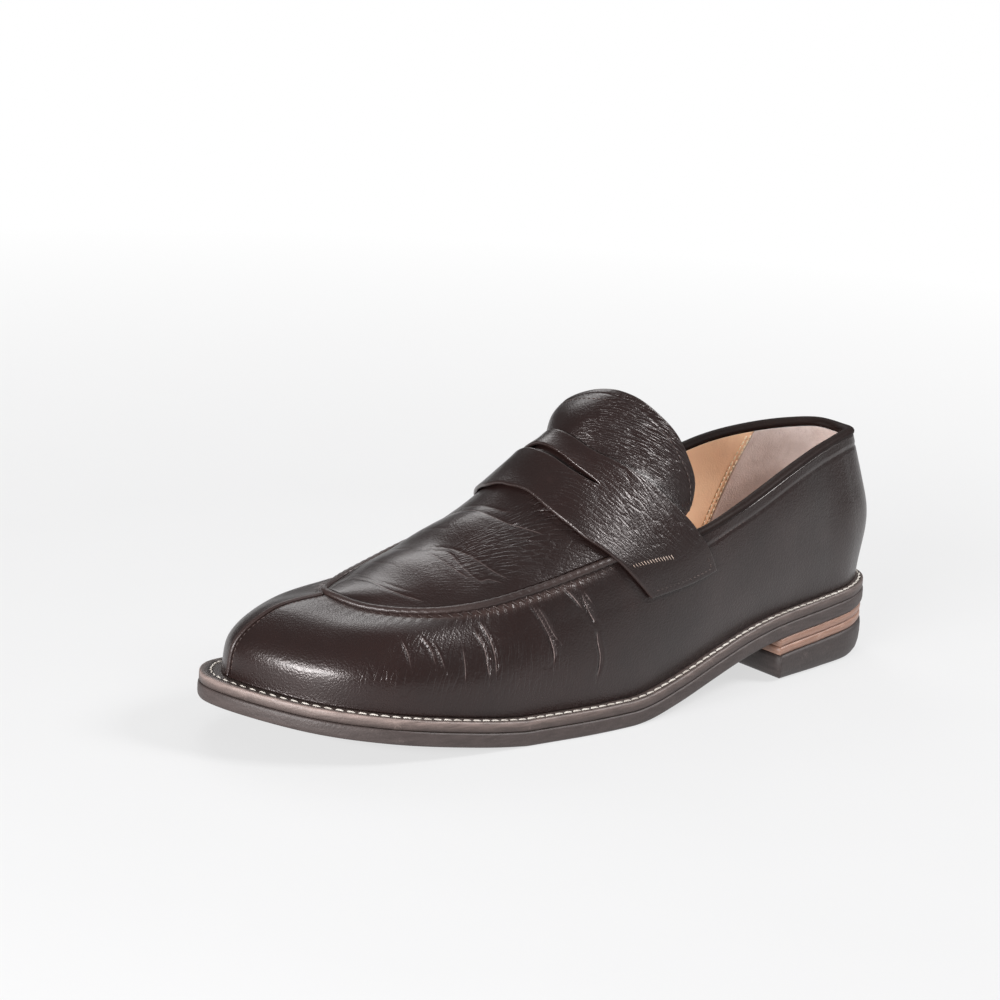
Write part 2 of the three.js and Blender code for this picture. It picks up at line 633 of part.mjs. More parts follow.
// ---- set on the origin: middle of the bounding box, on the ground ----
const bounds = new THREE.Box3().setFromObject(group);
const centre = bounds.getCenter(new THREE.Vector3());
for (const mesh of group.children) mesh.geometry.translate(-centre.x, -centre.y, -bounds.min.z);
export const placed = { shift: [-centre.x, -centre.y, -bounds.min.z] };
export default group;
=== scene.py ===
# Penny loafer, left shoe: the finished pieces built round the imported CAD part.
import math
import bmesh
import bpy
import numpy as np
from mathutils import Matrix, Vector


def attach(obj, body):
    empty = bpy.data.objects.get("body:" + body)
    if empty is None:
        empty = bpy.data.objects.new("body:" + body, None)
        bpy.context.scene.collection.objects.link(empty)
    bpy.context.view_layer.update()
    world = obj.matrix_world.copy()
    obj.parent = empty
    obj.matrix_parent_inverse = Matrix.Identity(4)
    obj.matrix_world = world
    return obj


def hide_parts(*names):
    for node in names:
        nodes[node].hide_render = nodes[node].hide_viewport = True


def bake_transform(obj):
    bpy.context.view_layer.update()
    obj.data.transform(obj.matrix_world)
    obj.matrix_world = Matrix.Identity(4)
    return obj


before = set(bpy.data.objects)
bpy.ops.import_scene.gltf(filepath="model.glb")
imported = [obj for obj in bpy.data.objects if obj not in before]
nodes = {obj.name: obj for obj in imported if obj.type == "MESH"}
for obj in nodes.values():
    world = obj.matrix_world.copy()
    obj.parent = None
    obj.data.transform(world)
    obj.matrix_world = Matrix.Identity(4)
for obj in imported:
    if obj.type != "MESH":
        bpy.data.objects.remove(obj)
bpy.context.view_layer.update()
print("frame loaded:", len(nodes), "CAD nodes")

# the shoe's own shape in millimetres; t runs from the back of the heel to the toe, and z is up
shoe = {
    "soleLength": 307.2, "outsoleThick": 5.6, "weltThick": 3.6, "weltReach": 9, "gap": 0.3, "leather": 1.4,
    "lining": 0.9, "stiffener": 1.0, "strap": 1.6, "strapLift": 0.45, "insole": 3.2, "sock": 1.2,
    "lift": 3.3, "shiftX": -0.3314,
}
seatRise = 0.6 + shoe["outsoleThick"] + shoe["weltThick"]
soleHeights = [[0, 21.3], [30, 19.6], [68, 17.4], [85, 15.2], [110, 9.6], [130, 4.4], [150, 0.4], [156, 0],
               [206, 0], [212, 0.5], [235, 3.4], [262, 7.2], [285, 10.2], [310, 14.4]]
# t, height and sideways place of the ridge of the upper
ridgeLine = [[96, 150, 2], [118, 134, 2], [141, 116.5, 1], [150, 108.5, 1], [159, 101.8, 0.5], [171, 95, 0],
             [179, 87.5, 0], [187, 80.5, 0], [195, 75, -0.5], [208, 67.8, -1], [222, 61, -2.5],
             [237, 55.6, -4.5], [250, 52, -7], [262, 50.6, -9.4]]
# round the shoe from the heel's back by the outer side: sole edge (x, t), welt reach, seam (x, t, z)
stations = np.array([
    [0, 0, 3.6, 0.4, 9.4, 90.4], [14, 3.6, 3.6, 9.6, 13.4, 91.2], [24.5, 17, 3.6, 15.2, 25, 90.8],
    [30, 38, 3.8, 20.8, 41, 88.8], [34, 60, 4, 27, 60, 84.9], [40.8, 95, 4.4, 34.8, 95, 74.4],
    [46, 122, 4.6, 38.4, 120, 68.6], [50.2, 150, 5, 40.2, 150, 66.2], [51.5, 175, 5.2, 40.2, 174, 61.6],
    [50.2, 203, 5.4, 37.2, 200, 55.6], [48.6, 233, 5.8, 31.5, 221, 51], [41.5, 266, 6.4, 21.5, 238, 48.6],
    [20.6, 293, 7.6, 6, 252.6, 48.4], [-15.2, 307.2, 9, -9.4, 258.4, 50.4],
    [-37, 292.5, 7.4, -19.6, 251.4, 48.4], [-47.6, 266, 6.2, -28.4, 238, 48.6],
    [-50.8, 233, 5.8, -33.6, 221, 51], [-49.2, 203, 5.4, -36.4, 200, 55.6], [-44, 175, 5, -36.4, 174, 61.6],
    [-38.4, 150, 4.6, -34.6, 150, 66.2], [-34.4, 122, 4.2, -32.2, 120, 68.6], [-32.4, 95, 4, -31, 95, 74.4],
    [-32.4, 60, 4, -27.6, 60, 84.9], [-30.6, 38, 3.8, -22.6, 41, 88.8], [-25, 17, 3.6, -16.4, 25, 90.8],
    [-14.2, 3.6, 3.6, -9.6, 13.2, 91.2]], float)
lateralNotch, toeStation, medialNotch, ringCount = 5.93, 13, 20.07, 26
# place over the rib (3 outer seam, 5 ridge, 7 inner seam), front t, back t
strapEdges = [[1.86, 146, 110.5], [2.5, 156, 115], [3, 164, 121], [3.45, 174, 135], [4, 179.4, 150],
              [4.5, 181, 156.5], [5, 183, 158.5], [5.5, 183, 157], [6, 180.6, 152], [6.55, 174, 139],
              [7, 164, 121], [7.5, 156, 115], [8.14, 146, 110.5]]
# free edge of the tongue from the inner side over the top to the outer side (x, t, z)
tongueEdge = [[-31, 118.5, 74.4], [-30.5, 120, 80], [-29.6, 124.5, 88], [-27.6, 131.5, 96], [-24, 138, 103.2],
              [-19, 142, 108.8], [-13, 142.6, 112.8], [-6, 141, 116.2], [1, 139.4, 118.2], [8, 137.6, 118.8],
              [14.6, 133.6, 116.8], [19.8, 127.6, 111.4], [23.8, 121, 103.8], [26.8, 116.4, 94.4],
              [28.8, 114, 85.9], [30.4, 115.6, 78.8], [32, 119, 74.2]]


def ease(a, b, v):
    k = np.clip((np.asarray(v, float) - a) / (b - a), 0, 1)
    return k * k * (3 - 2 * k)


def mix(a, b, k):
    return a + (b - a) * k


def bell(v, middle, width):
    return np.exp(-((np.asarray(v, float) - middle) / width) ** 2)


def through(rows, column=1):
    rows = np.array(rows, float)
    x, y = rows[:, 0], rows[:, column]
    slope = np.diff(y) / np.diff(x)
    a, b = np.append(slope[:1], slope), np.append(slope, slope[-1:])
    both = np.where(a + b == 0, 1, a + b)
    tangent = np.where(a * b > 0, 2 * a * b / both, 0)

    def at(t):
        t = np.asarray(t, float)
        i = np.clip(np.searchsorted(x, t, side="left") - 1, 0, len(x) - 2)
        step = x[i + 1] - x[i]
        k = np.clip((t - x[i]) / step, 0, 1)
        p, q, m, n = y[i], y[i + 1], tangent[i] * step, tangent[i + 1] * step
        return p + k * (m + k * (3 * (q - p) - 2 * m - n + k * (m + n - 2 * (q - p))))
    return at


def place(x, t, z):
    x, t, z = np.broadcast_arrays(np.asarray(x, float), t, z)
    return np.stack([x, shoe["soleLength"] / 2 - t, z], -1)


def tOf(p):
    return shoe["soleLength"] / 2 - p[..., 1]


# centripetal cubic between p1 and p2
def cubic(p0, p1, p2, p3, w):
    def step(a, b):
        return np.sum((a - b) ** 2, -1, keepdims=True) ** 0.25
    d0, d1, d2 = step(p0, p1), step(p1, p2), step(p2, p3)
    d1 = np.where(d1 < 1e-4, 1, d1)
    d0, d2 = np.where(d0 < 1e-4, d1, d0), np.where(d2 < 1e-4, d1, d2)
    m = ((p1 - p0) / d0 - (p2 - p0) / (d0 + d1) + (p2 - p1) / d1) * d1
    n = ((p2 - p1) / d1 - (p3 - p1) / (d1 + d2) + (p3 - p2) / d2) * d1
    w = np.asarray(w)[..., None]
    return p1 + w * (m + w * (3 * (p2 - p1) - 2 * m - n + w * (m + n - 2 * (p2 - p1))))


def ringAt(points, s):
    i = np.floor(s).astype(int)
    n = len(points)
    return cubic(points[(i - 1) % n], points[i % n], points[(i + 1) % n], points[(i + 2) % n], s - i)


# points (..., n, 3) and how far along them, 0 to n - 1
def lineAt(points, u):
    n = points.shape[-2]
    before = 2 * points[..., :1, :] - points[..., 1:2, :]
    beyond = 2 * points[..., -1:, :] - points[..., -2:-1, :]
    ends = [before, points, beyond]
    full = np.concatenate(ends, -2)
    i = np.clip(np.floor(u).astype(int), 0, n - 2)
    full = np.broadcast_to(full, i.shape + full.shape[-2:])

    def pick(k):
        return np.take_along_axis(full, (i + k)[..., None, None], -2)[..., 0, :]
    return cubic(pick(0), pick(1), pick(2), pick(3), u - i)


soleUnder = through(soleHeights)
ridgeZ, ridgeX = through(ridgeLine), through(ridgeLine, 2)
reach = through([[i, row[2]] for i, row in enumerate(stations)] + [[ringCount, stations[0][2]]])
edgePoints = place(stations[:, 0], stations[:, 1], 0)
seamPoints = place(stations[:, 3], stations[:, 4], stations[:, 5])


def seatZ(t):
    return soleUnder(t) + seatRise


def outwardAt(s):
    s = np.asarray(s, float)
    along = ringAt(edgePoints, s + 0.0026) - ringAt(edgePoints, s - 0.0026)
    out = np.stack([-along[..., 1], along[..., 0], np.zeros(s.shape)], -1)
    return out / np.linalg.norm(out, axis=-1, keepdims=True)


def inset(s, distance):
    return ringAt(edgePoints, s) - outwardAt(s) * np.asarray(distance)[..., None]


def ridgePoint(t):
    return place(ridgeX(t), t, ridgeZ(t))


def crown(seam, ridge):
    p = mix(seam, ridge, 0.52)
    far = np.linalg.norm(seam - ridge, axis=-1)
    p[..., 2] += far * mix(0.125, 0.07, ease(150, 235, tOf(seam)))
    return p


# seat edge, two places on the wall, seam, and one place on towards the ridge
def ribPoints(s):
    s = np.asarray(s, float) % ringCount
    out = outwardAt(s)
    foot = ringAt(edgePoints, s) - out * reach(s)[..., None]
    footT = tOf(foot)
    foot[..., 2] = seatZ(footT) + shoe["gap"]
    seam = ringAt(seamPoints, s)
    dome = ease(205, 285, footT)
    waist = bell(footT, 110, 40)

    def rise(across, up, swell):
        p = mix(foot, seam, across[..., None]) + out * swell[..., None]
        p[..., 2] = mix(foot[..., 2], seam[..., 2], up)
        return p
    low = rise(mix(0.3, 0.1, dome), mix(0.33, 0.47, dome), mix(3.0 - 1.2 * waist, 1.2, dome))
    high = rise(mix(0.66, 0.46, dome), mix(0.67, 0.86, dome), mix(2.9 - 0.9 * waist, 1.0, dome))
    seamT = tOf(seam)
    straight = seam * 1.6 - high * 0.6
    crowned = crown(seam, ridgePoint(np.minimum(seamT, 246)))
    nextOne = mix(straight, crowned, ease(96, 140, seamT)[..., None])
    return foot, low, high, seam, nextOne


def wall(s, up):
    s, up = np.broadcast_arrays(np.asarray(s, float), np.asarray(up, float))
    return lineAt(np.stack(ribPoints(s), -2), up * 3)


tableS = np.linspace(0.2, toeStation, 3000)
tableT = {side: tOf(ringAt(seamPoints, tableS if side > 0 else ringCount - tableS)) for side in (1, -1)}


def stationAt(t, side):
    s = np.interp(t, np.maximum.accumulate(tableT[side]), tableS)
    return s if side > 0 else ringCount - s


# over the instep and forefoot: t along, s from 0 (outer welt) by 5 (ridge) to 10 (inner welt)
def arch(t, s):
    t, s = np.broadcast_arrays(np.asarray(t, float), np.asarray(s, float))
    footA, lowA, highA, seamA, _ = ribPoints(stationAt(t, 1))
    footB, lowB, highB, seamB, _ = ribPoints(stationAt(t, -1))
    ridge = ridgePoint(t)
    rib = [footA, lowA, highA, seamA, crown(seamA, ridge), ridge, crown(seamB, ridge), seamB, highB, lowB,
           footB]
    return lineAt(np.stack(rib, -2), s)


def normalOf(surface, a, b, stepA, stepB):
    da = surface(a + stepA, b) - surface(a - stepA, b)
    db = surface(a, b + stepB) - surface(a, b - stepB)
    n = np.cross(da, db)
    n /= np.maximum(np.linalg.norm(n, axis=-1, keepdims=True), 1e-9)
    p = surface(a, b)
    inside = place(0, np.clip(tOf(p), 34, 246), np.minimum(p[..., 2], 40))
    turned = np.sum(n * (p - inside), -1, keepdims=True) < 0
    return p, np.where(turned, -n, n)


strapFront, strapBack = through(strapEdges), through(strapEdges, 2)


def strapPlace(s, k):
    return arch(mix(strapFront(s), strapBack(s), k), s)


tongueCurve = place(*np.array(tongueEdge).T)


def tongueSurface(a, w):
    a, w = np.broadcast_arrays(np.asarray(a, float), np.asarray(w, float))
    s = 5 - a * 1.86
    tuck = 3.0 * (1 - a * a) + 0.4  # how far the base runs on under the strap
    p, n = normalOf(arch, strapBack(s) - 1.6 + tuck, s, 0.4, 0.04)
    base = p + n * (-0.3 - 1.6 * np.abs(a) ** 4)[..., None]
    edge = lineAt(tongueCurve, (a + 1) / 2 * (len(tongueEdge) - 1))
    swell = 2.0 * np.sin(np.pi * w) * (1 - a * a) + 1.6 * np.sin(np.pi * w) * bell(a, -0.62, 0.3)
    return mix(base, edge, w[..., None]) + swell[..., None] * np.array([0, -0.7, 0.7])


print("shape functions ready")

# mesh makers
def toMetres(p):
    return (np.asarray(p, float) + [shoe["shiftX"], 0, 0]) / 1000


def makePiece(name, points, faces, material, slot, body="shoe", stands=(), skin=None, masks=None):
    points = toMetres(points)
    tri = np.concatenate([np.array(f)[:, [0, 1, 2]] for f in faces] +
                         [np.array(f)[:, [0, 2, 3]] for f in faces if len(f[0]) == 4])
    a, b, c = points[tri[:, 0]], points[tri[:, 1]], points[tri[:, 2]]
    flip = np.sum(a * np.cross(b, c)) < 0
    rows = [list(map(int, r))[::-1] if flip else list(map(int, r)) for f in faces for r in f]
    mesh = bpy.data.meshes.new(name)
    mesh.from_pydata(points.tolist(), [], rows)
    shell = bmesh.new()
    shell.from_mesh(mesh)
    bmesh.ops.recalc_face_normals(shell, faces=shell.faces)
    shell.to_mesh(mesh)
    shell.free()
    mesh.update()
    mesh.shade_smooth()
    if skin is not None:
        held = mesh.attributes.new("skin", "FLOAT_VECTOR", "POINT")
        held.data.foreach_set("vector", skin.astype(np.float32).ravel())
    for key, value in (masks or {}).items():
        held = mesh.attributes.new(key, "FLOAT", "POINT")
        held.data.foreach_set("value", np.asarray(value, np.float32).ravel())
    piece = bpy.data.objects.new(name, mesh)
    bpy.context.scene.collection.objects.link(piece)
    mesh.materials.append(material)
    if body == "bending":
        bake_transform(piece)
    else:
        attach(piece, body)
    if stands:
        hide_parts(*stands)
    return piece


# two matching grids (nu, nv, 3), joined round their borders
def sheetParts(outer, inner, closed=False):
    nu, nv = outer.shape[:2]
    ids = np.arange(nu * nv).reshape(nu, nv)
    rows = np.arange(nu if closed else nu - 1)
    after = (rows + 1) % nu
    quads = np.stack([ids[rows, :-1], ids[after, :-1], ids[after, 1:], ids[rows, 1:]], -1).reshape(-1, 4)
    far = quads[:, ::-1] + nu * nv
    faces = [quads, far]
    for j, turn in ((0, 1), (nv - 1, -1)):
        side = np.stack([ids[rows, j], ids[rows, j] + nu * nv, ids[after, j] + nu * nv, ids[after, j]], -1)
        faces.append(side[:, ::turn])
    if not closed:
        for i, turn in ((0, -1), (nu - 1, 1)):
            a, b = ids[i, :-1], ids[i, 1:]
            faces.append(np.stack([a, a + nu * nv, b + nu * nv, b], -1)[:, ::turn])
    return np.concatenate([outer.reshape(-1, 3), inner.reshape(-1, 3)]), faces


edgeSteps = np.array([0, 0.08, 0.3, 0.65, 1.0])


# how full a cut edge is at a distance from it, for a half-round edge of that radius
def edgeFullness(distance, radius):
    k = np.clip(distance / radius, 0, 1)
    return np.sqrt(np.clip(1 - (1 - k) ** 2, 0.03, 1))


# parameters from a to b, drawn together at both ends so that the edges come out round
def edged(a, b, count, startStep, endStep):
    inner = np.linspace(a + startStep, b - endStep, count)
    return np.concatenate([a + edgeSteps[:-1] * startStep, inner, (b - edgeSteps[:-1] * endStep)[::-1]])


# lengths run along one axis of a grid of points
def runAlong(p, axis):
    steps = np.linalg.norm(np.diff(p, axis=axis), axis=-1)
    start = np.zeros((1, p.shape[1]) if axis == 0 else (p.shape[0], 1))
    return np.concatenate([start, np.cumsum(steps, axis)], axis)


def sheetPiece(name, surface, us, vs, steps, low, high, material, slot, radii=(0.7, 0.7), relief=None,
               skin=None, masks=None, **rest):
    u, v = np.meshgrid(us, vs, indexing="ij")
    p, n = normalOf(surface, u, v, *steps)
    alongU, alongV = runAlong(p, 0), runAlong(p, 1)
    toU = np.minimum(alongU, alongU[-1:] - alongU)
    toV = np.minimum(alongV, alongV[:, -1:] - alongV)
    full = edgeFullness(toU, radii[0]) * edgeFullness(toV, radii[1])
    thick, middle = high - low, (high + low) / 2
    rise = relief(u, v, p) if relief else 0
    outer = p + n * (middle + thick / 2 * full + rise)[..., None]
    inner = p + n * (middle - thick / 2 * full + np.minimum(rise, 0) * 0.8)[..., None]
    points, faces = sheetParts(outer, inner)
    look = np.stack([alongU, alongV, np.zeros(alongU.shape)], -1) if skin is None else skin(u, v, p)
    both = {k: np.concatenate([f(u, v, p).ravel()] * 2) for k, f in (masks or {}).items()}
    return makePiece(name, points, faces, material, slot, skin=np.concatenate([look.reshape(-1, 3)] * 2),
                     masks=both, **rest)


# a rod along points with a frame at each, as an oval of sides; ends are closed with a fan
def rodParts(points, across, up, wide, high, sides=10, closed=False):
    n = len(points)
    angle = np.linspace(0, 2 * math.pi, sides, endpoint=False)
    wide, high = np.broadcast_to(wide, n)[:, None, None], np.broadcast_to(high, n)[:, None, None]
    ring = (points[:, None] + across[:, None] * np.cos(angle)[None, :, None] * wide
            + up[:, None] * np.sin(angle)[None, :, None] * high)
    ids = np.arange(n * sides).reshape(n, sides)
    rows = np.arange(n if closed else n - 1)
    after = (rows + 1) % n
    turn = np.roll(ids, -1, 1)
    faces = [np.stack([ids[rows], turn[rows], turn[after], ids[after]], -1).reshape(-1, 4)]
    flat = ring.reshape(-1, 3)
    if not closed:
        flat = np.concatenate([flat, points[[0, -1]]])
        faces.append(np.stack([turn[0], ids[0], np.full(sides, n * sides)], -1))
        faces.append(np.stack([ids[-1], turn[-1], np.full(sides, n * sides + 1)], -1))
    return flat, faces


def unit(v):
    return v / np.maximum(np.linalg.norm(v, axis=-1, keepdims=True), 1e-9)


# separate stitches along a path: each a small rod whose ends dip under the surface
def stitchParts(path, normals, pitch, length, radius, slant=0.0, dip=0.5, closed=False, flat=0.8):
    both = np.concatenate([path, normals], -1)
    if closed:
        both = np.concatenate([both, both[:1]])
    run = np.concatenate([[0], np.cumsum(np.linalg.norm(np.diff(both[:, :3], axis=0), axis=-1))])
    count = max(1, round(run[-1] / pitch))
    points, quads, tris, base = [], [], [], 0
    for i in range(count):
        middle = (i + 0.5) * run[-1] / count
        along = np.clip(np.linspace(-0.5, 0.5, 7) * length + middle, 0, run[-1])
        row = np.stack([np.interp(along, run, both[:, k]) for k in range(6)], -1)
        centre, up = row[:, :3], unit(row[:, 3:])
        tangent = unit(centre[-1] - centre[0])[None].repeat(7, 0)
        across = unit(np.cross(tangent, up))
        k = np.linspace(-1, 1, 7)
        centre = centre + across * (k * slant * length / 2)[:, None] - up * (dip * np.abs(k) ** 4)[:, None]
        size = radius * np.sqrt(np.clip(1 - (np.abs(k) * 0.96) ** 4, 0.05, 1))
        p, f = rodParts(centre, across, up, size, size * flat, 8)
        points.append(p)
        quads.append(f[0] + base)
        tris += [f[1] + base, f[2] + base]
        base += len(p)
    return np.concatenate(points), [np.concatenate(quads), np.concatenate(tris)]


def joined(parts):
    points, quads, tris, base = [], [], [], 0
    for p, faces in parts:
        points.append(p)
        for f in faces:
            (quads if f.shape[1] == 4 else tris).append(f + base)
        base += len(p)
    return np.concatenate(points), [np.concatenate(g) for g in (quads, tris) if g]


# A plate inside the sole's outline. The profile holds (inset, share of the way from low to high), and the
# breast is the t of a straight front edge, or None.
def platePiece(name, base, low, high, profile, material, slot, breast=None, count=110, columns=14, **rest):
    rings = []
    for d, share in profile:
        sides = []
        for turn in (1, -1):
            fine = np.linspace(0, toeStation, 1600)
            stationRow = fine if turn > 0 else ringCount - fine
            away = inset(stationRow, np.asarray(base(stationRow)) + d)
            ts = np.maximum.accumulate(tOf(away))
            last = ts[-1] if breast is None else breast - d
            wanted = mix(ts[0], last, (1 - np.cos(np.linspace(0, math.pi, count))) / 2)
            if breast is not None:
                wanted = mix(ts[0], last, 1 - (1 - np.linspace(0, 1, count) ** 1.6))
            s = np.interp(wanted, ts, fine)
            s = s if turn > 0 else ringCount - s
            sides.append(inset(s, np.asarray(base(s)) + d))
        a, b = sides
        b[0] = a[0]
        if breast is None:
            b[-1] = a[-1]
            ring = np.concatenate([a, b[-2:0:-1]])
        else:
            front = mix(a[-1], b[-1], np.linspace(0, 1, columns + 1)[1:-1, None])
            ring = np.concatenate([a, front, b[:0:-1]])
        ring[:, 2] = mix(low(tOf(ring)), high(tOf(ring)), share)
        rings.append(ring)
    n = len(rings[0])
    points = [np.concatenate(rings)]
    ids = np.arange(len(rings) * n).reshape(len(rings), n)
    after = np.roll(ids, -1, 1)
    faces = [np.stack([ids[:-1], after[:-1], after[1:], ids[1:]], -1).reshape(-1, 4)]
    total, tris = len(rings) * n, []
    for level in (0, len(rings) - 1):
        ring, own = rings[level], ids[level]
        lastRow = count - 1 if breast is None else count
        rows = []
        for i in range(1, lastRow):
            left, right = own[i], own[n - i]
            if breast is not None and i == count - 1:
                rows.append(np.concatenate([own[i:i + columns + 1]]))
                continue
            middle = mix(ring[i], ring[n - i], np.linspace(0, 1, columns + 1)[1:-1, None])
            middle[:, 2] = mix(low(tOf(middle)), high(tOf(middle)), profile[level][1])
            points.append(middle)
            rows.append(np.concatenate([[left], np.arange(total, total + columns - 1), [right]]))
            total += columns - 1
        turn = 1 if level == 0 else -1
        for r, q in zip(rows[:-1], rows[1:]):
            faces.append(np.stack([r[:-1], r[1:], q[1:], q[:-1]], -1)[:, ::-turn])
        r = rows[0]
        tris.append(np.stack([np.full(columns, own[0]), r[:-1], r[1:]], -1)[:, ::turn])
        if breast is None:
            r = rows[-1]
            tris.append(np.stack([np.full(columns, own[count - 1]), r[:-1], r[1:]], -1)[:, ::-turn])
    faces = [np.concatenate(faces), np.concatenate(tris)]
    return makePiece(name, np.concatenate(points), faces, material, slot, **rest)


# how far each point lies from a path, in millimetres
def farFrom(p, path):
    flat = p.reshape(-1, 3)
    best = np.full(len(flat), 1e9)
    for a, b in zip(path[:-1], path[1:]):
        d = b - a
        k = np.clip(((flat - a) @ d) / max(d @ d, 1e-9), 0, 1)
        best = np.minimum(best, np.linalg.norm(flat - a - k[:, None] * d, axis=1))
    return best.reshape(p.shape[:-1])


def creasePath(places, surface):
    places = np.array(places, float)
    fine = np.linspace(0, len(places) - 1, 5 * len(places))
    path = lineAt(np.concatenate([places, places[:, :1] * 0], 1)[None].repeat(len(fine), 0), fine)
    return surface(path[:, 0], path[:, 1])


# creases: (surface places, depth, width), a valley with a soft swell on each side
def creaseRelief(p, surface, creases):
    total = np.zeros(p.shape[:-1])
    for places, depth, width in creases:
        path = creasePath(places, surface)
        far = farFrom(p, path)
        ends = np.minimum(*[np.linalg.norm(p - path[k], axis=-1) for k in (0, -1)])
        fade = ease(0, 7, ends + 1.2 * (far > 3))
        total += fade * depth * (0.45 * bell(far, 2.2 * width, width) - bell(far, 0, width))
    return total


# signed distance to the nearest crease, and how strong it is there
def creaseField(p, n, surface, creases):
    at, how, second = np.full(p.shape[:-1], 9.0), np.zeros(p.shape[:-1]), np.full(p.shape[:-1], 9.0)
    for places, depth, _ in creases:
        path = creasePath(places, surface)
        far = farFrom(p, path)
        near = np.argmin(np.linalg.norm(p[..., None, :] - path[1:-1], axis=-1), axis=-1) + 1
        tangent = unit(path[near + 1] - path[near - 1])
        k = np.sign(np.sum(np.cross(n, tangent) * (p - path[near]), -1))
        ends = np.minimum(*[np.linalg.norm(p - path[end], axis=-1) for end in (0, -1)])
        power = min(1.0, depth / 0.45) * ease(0, 4, ends) * (1 - ease(1.4, 2.4, far))
        nearer = far < np.abs(at)
        second = np.where(nearer, np.abs(at), np.minimum(second, far))
        at, how = np.where(nearer, far * k, at), np.where(nearer, power, how)
    return at, how * ease(0.9, 2.2, second - np.abs(at))


# shader helpers
def addNode(tree, kind, inputs=None, **settings):
    made = tree.nodes.new(kind)
    for key, value in settings.items():
        setattr(made, key, value)
    for key, value in (inputs or {}).items():
        if isinstance(value, bpy.types.NodeSocket):
            tree.links.new(value, made.inputs[key])
        else:
            made.inputs[key].default_value = value
    return made


def mathNode(tree, operation, a, b=0.5, clamp=False):
    return addNode(tree, "ShaderNodeMath", {0: a, 1: b}, operation=operation, use_clamp=clamp).outputs[0]


def mapRange(tree, value, fromLow, fromHigh, toLow, toHigh):
    keys = {"Value": value, "From Min": fromLow, "From Max": fromHigh, "To Min": toLow, "To Max": toHigh}
    return addNode(tree, "ShaderNodeMapRange", keys).outputs[0]


def mixColour(tree, share, a, b):
    return addNode(tree, "ShaderNodeMix", {0: share, 6: a, 7: b}, data_type="RGBA").outputs[2]


def newGroup(name, inputs, outputs):
    tree = bpy.data.node_groups.new(name, "ShaderNodeTree")
    for key, kind, value in inputs:
        socket = tree.interface.new_socket(key, in_out="INPUT", socket_type=kind)
        if value is not None:
            socket.default_value = value
    for key, kind in outputs:
        tree.interface.new_socket(key, in_out="OUTPUT", socket_type=kind)
    return tree, tree.nodes.new("NodeGroupInput").outputs, tree.nodes.new("NodeGroupOutput").inputs


number, vector = "NodeSocketFloat", "NodeSocketVector"


# fine pebble of tight leather pores, with slow patches; sizes are in cells per metre
def buildGrainGroup():
    tree, given, out = newGroup("leatherGrain", [
        ("Place", vector, None), ("Pebble", number, 900), ("Patch", number, 22), ("Depth", number, 1)],
        [("Height", number), ("Patches", number), ("Pores", number)])
    noise = addNode(tree, "ShaderNodeTexNoise", {"Vector": given["Place"], "Scale": 160, "Detail": 2})
    bent = addNode(tree, "ShaderNodeMix", {0: 0.004, 4: given["Place"], 5: noise.outputs["Color"]},
                   data_type="VECTOR").outputs[1]
    cells = addNode(tree, "ShaderNodeTexVoronoi",
                    {"Vector": bent, "Scale": given["Pebble"], "Smoothness": 0.6}, feature="SMOOTH_F1")
    fine = addNode(tree, "ShaderNodeTexNoise", {"Vector": given["Place"], "Scale": 2600, "Detail": 2})
    patch = addNode(tree, "ShaderNodeTexNoise", {"Vector": given["Place"], "Scale": given["Patch"],
                                                 "Detail": 4, "Roughness": 0.6})
    pores = mapRange(tree, cells.outputs["Distance"], 0.15, 0.75, 0, 1)
    poreHeight = mathNode(tree, "MULTIPLY_ADD", pores, -0.8)
    tree.nodes[-1].inputs[2].default_value = 0.8
    skinHeight = mathNode(tree, "ADD", poreHeight, mathNode(tree, "MULTIPLY", fine.outputs["Fac"], 0.25))
    tree.links.new(mathNode(tree, "MULTIPLY", skinHeight, given["Depth"]), out["Height"])
    tree.links.new(mapRange(tree, patch.outputs["Fac"], 0.35, 0.68, 0, 1), out["Patches"])
    tree.links.new(pores, out["Pores"])
    return tree


# long fine wrinkles that run across the skin, turned by an angle, where the mask is high
def buildWrinkleGroup():
    tree, given, out = newGroup("fineWrinkles", [
        ("Place", vector, None), ("Turn", number, 0), ("Length", number, 90), ("Spacing", number, 700),
        ("Mask", number, 1)], [("Height", number), ("Lines", number)])
    turned = addNode(tree, "ShaderNodeVectorRotate", {"Vector": given["Place"], "Angle": given["Turn"]},
                     rotation_type="Z_AXIS").outputs[0]
    parts = addNode(tree, "ShaderNodeSeparateXYZ", {0: turned}).outputs
    size = addNode(tree, "ShaderNodeCombineXYZ", {0: mathNode(tree, "MULTIPLY", parts[0], given["Spacing"]),
                                                  1: mathNode(tree, "MULTIPLY", parts[1], given["Length"])})
    wobble = addNode(tree, "ShaderNodeTexNoise", {"Vector": size.outputs[0], "Scale": 0.7, "Detail": 2})
    bent = addNode(tree, "ShaderNodeMix", {0: 0.45, 4: size.outputs[0], 5: wobble.outputs["Color"]},
                   data_type="VECTOR").outputs[1]
    folds = addNode(tree, "ShaderNodeTexVoronoi", {"Vector": bent, "Scale": 2.3}, feature="DISTANCE_TO_EDGE")
    patch = addNode(tree, "ShaderNodeTexNoise", {"Vector": given["Place"], "Scale": 130, "Detail": 3})
    patches = mapRange(tree, patch.outputs["Fac"], 0.3, 0.6, 0.25, 1)
    where = mathNode(tree, "MULTIPLY", given["Mask"], patches)
    lines = mathNode(tree, "MULTIPLY", mapRange(tree, folds.outputs["Distance"], 0, 0.16, 1, 0), where)
    tree.links.new(mathNode(tree, "MULTIPLY", lines, -1), out["Height"])
    tree.links.new(lines, out["Lines"])
    return tree


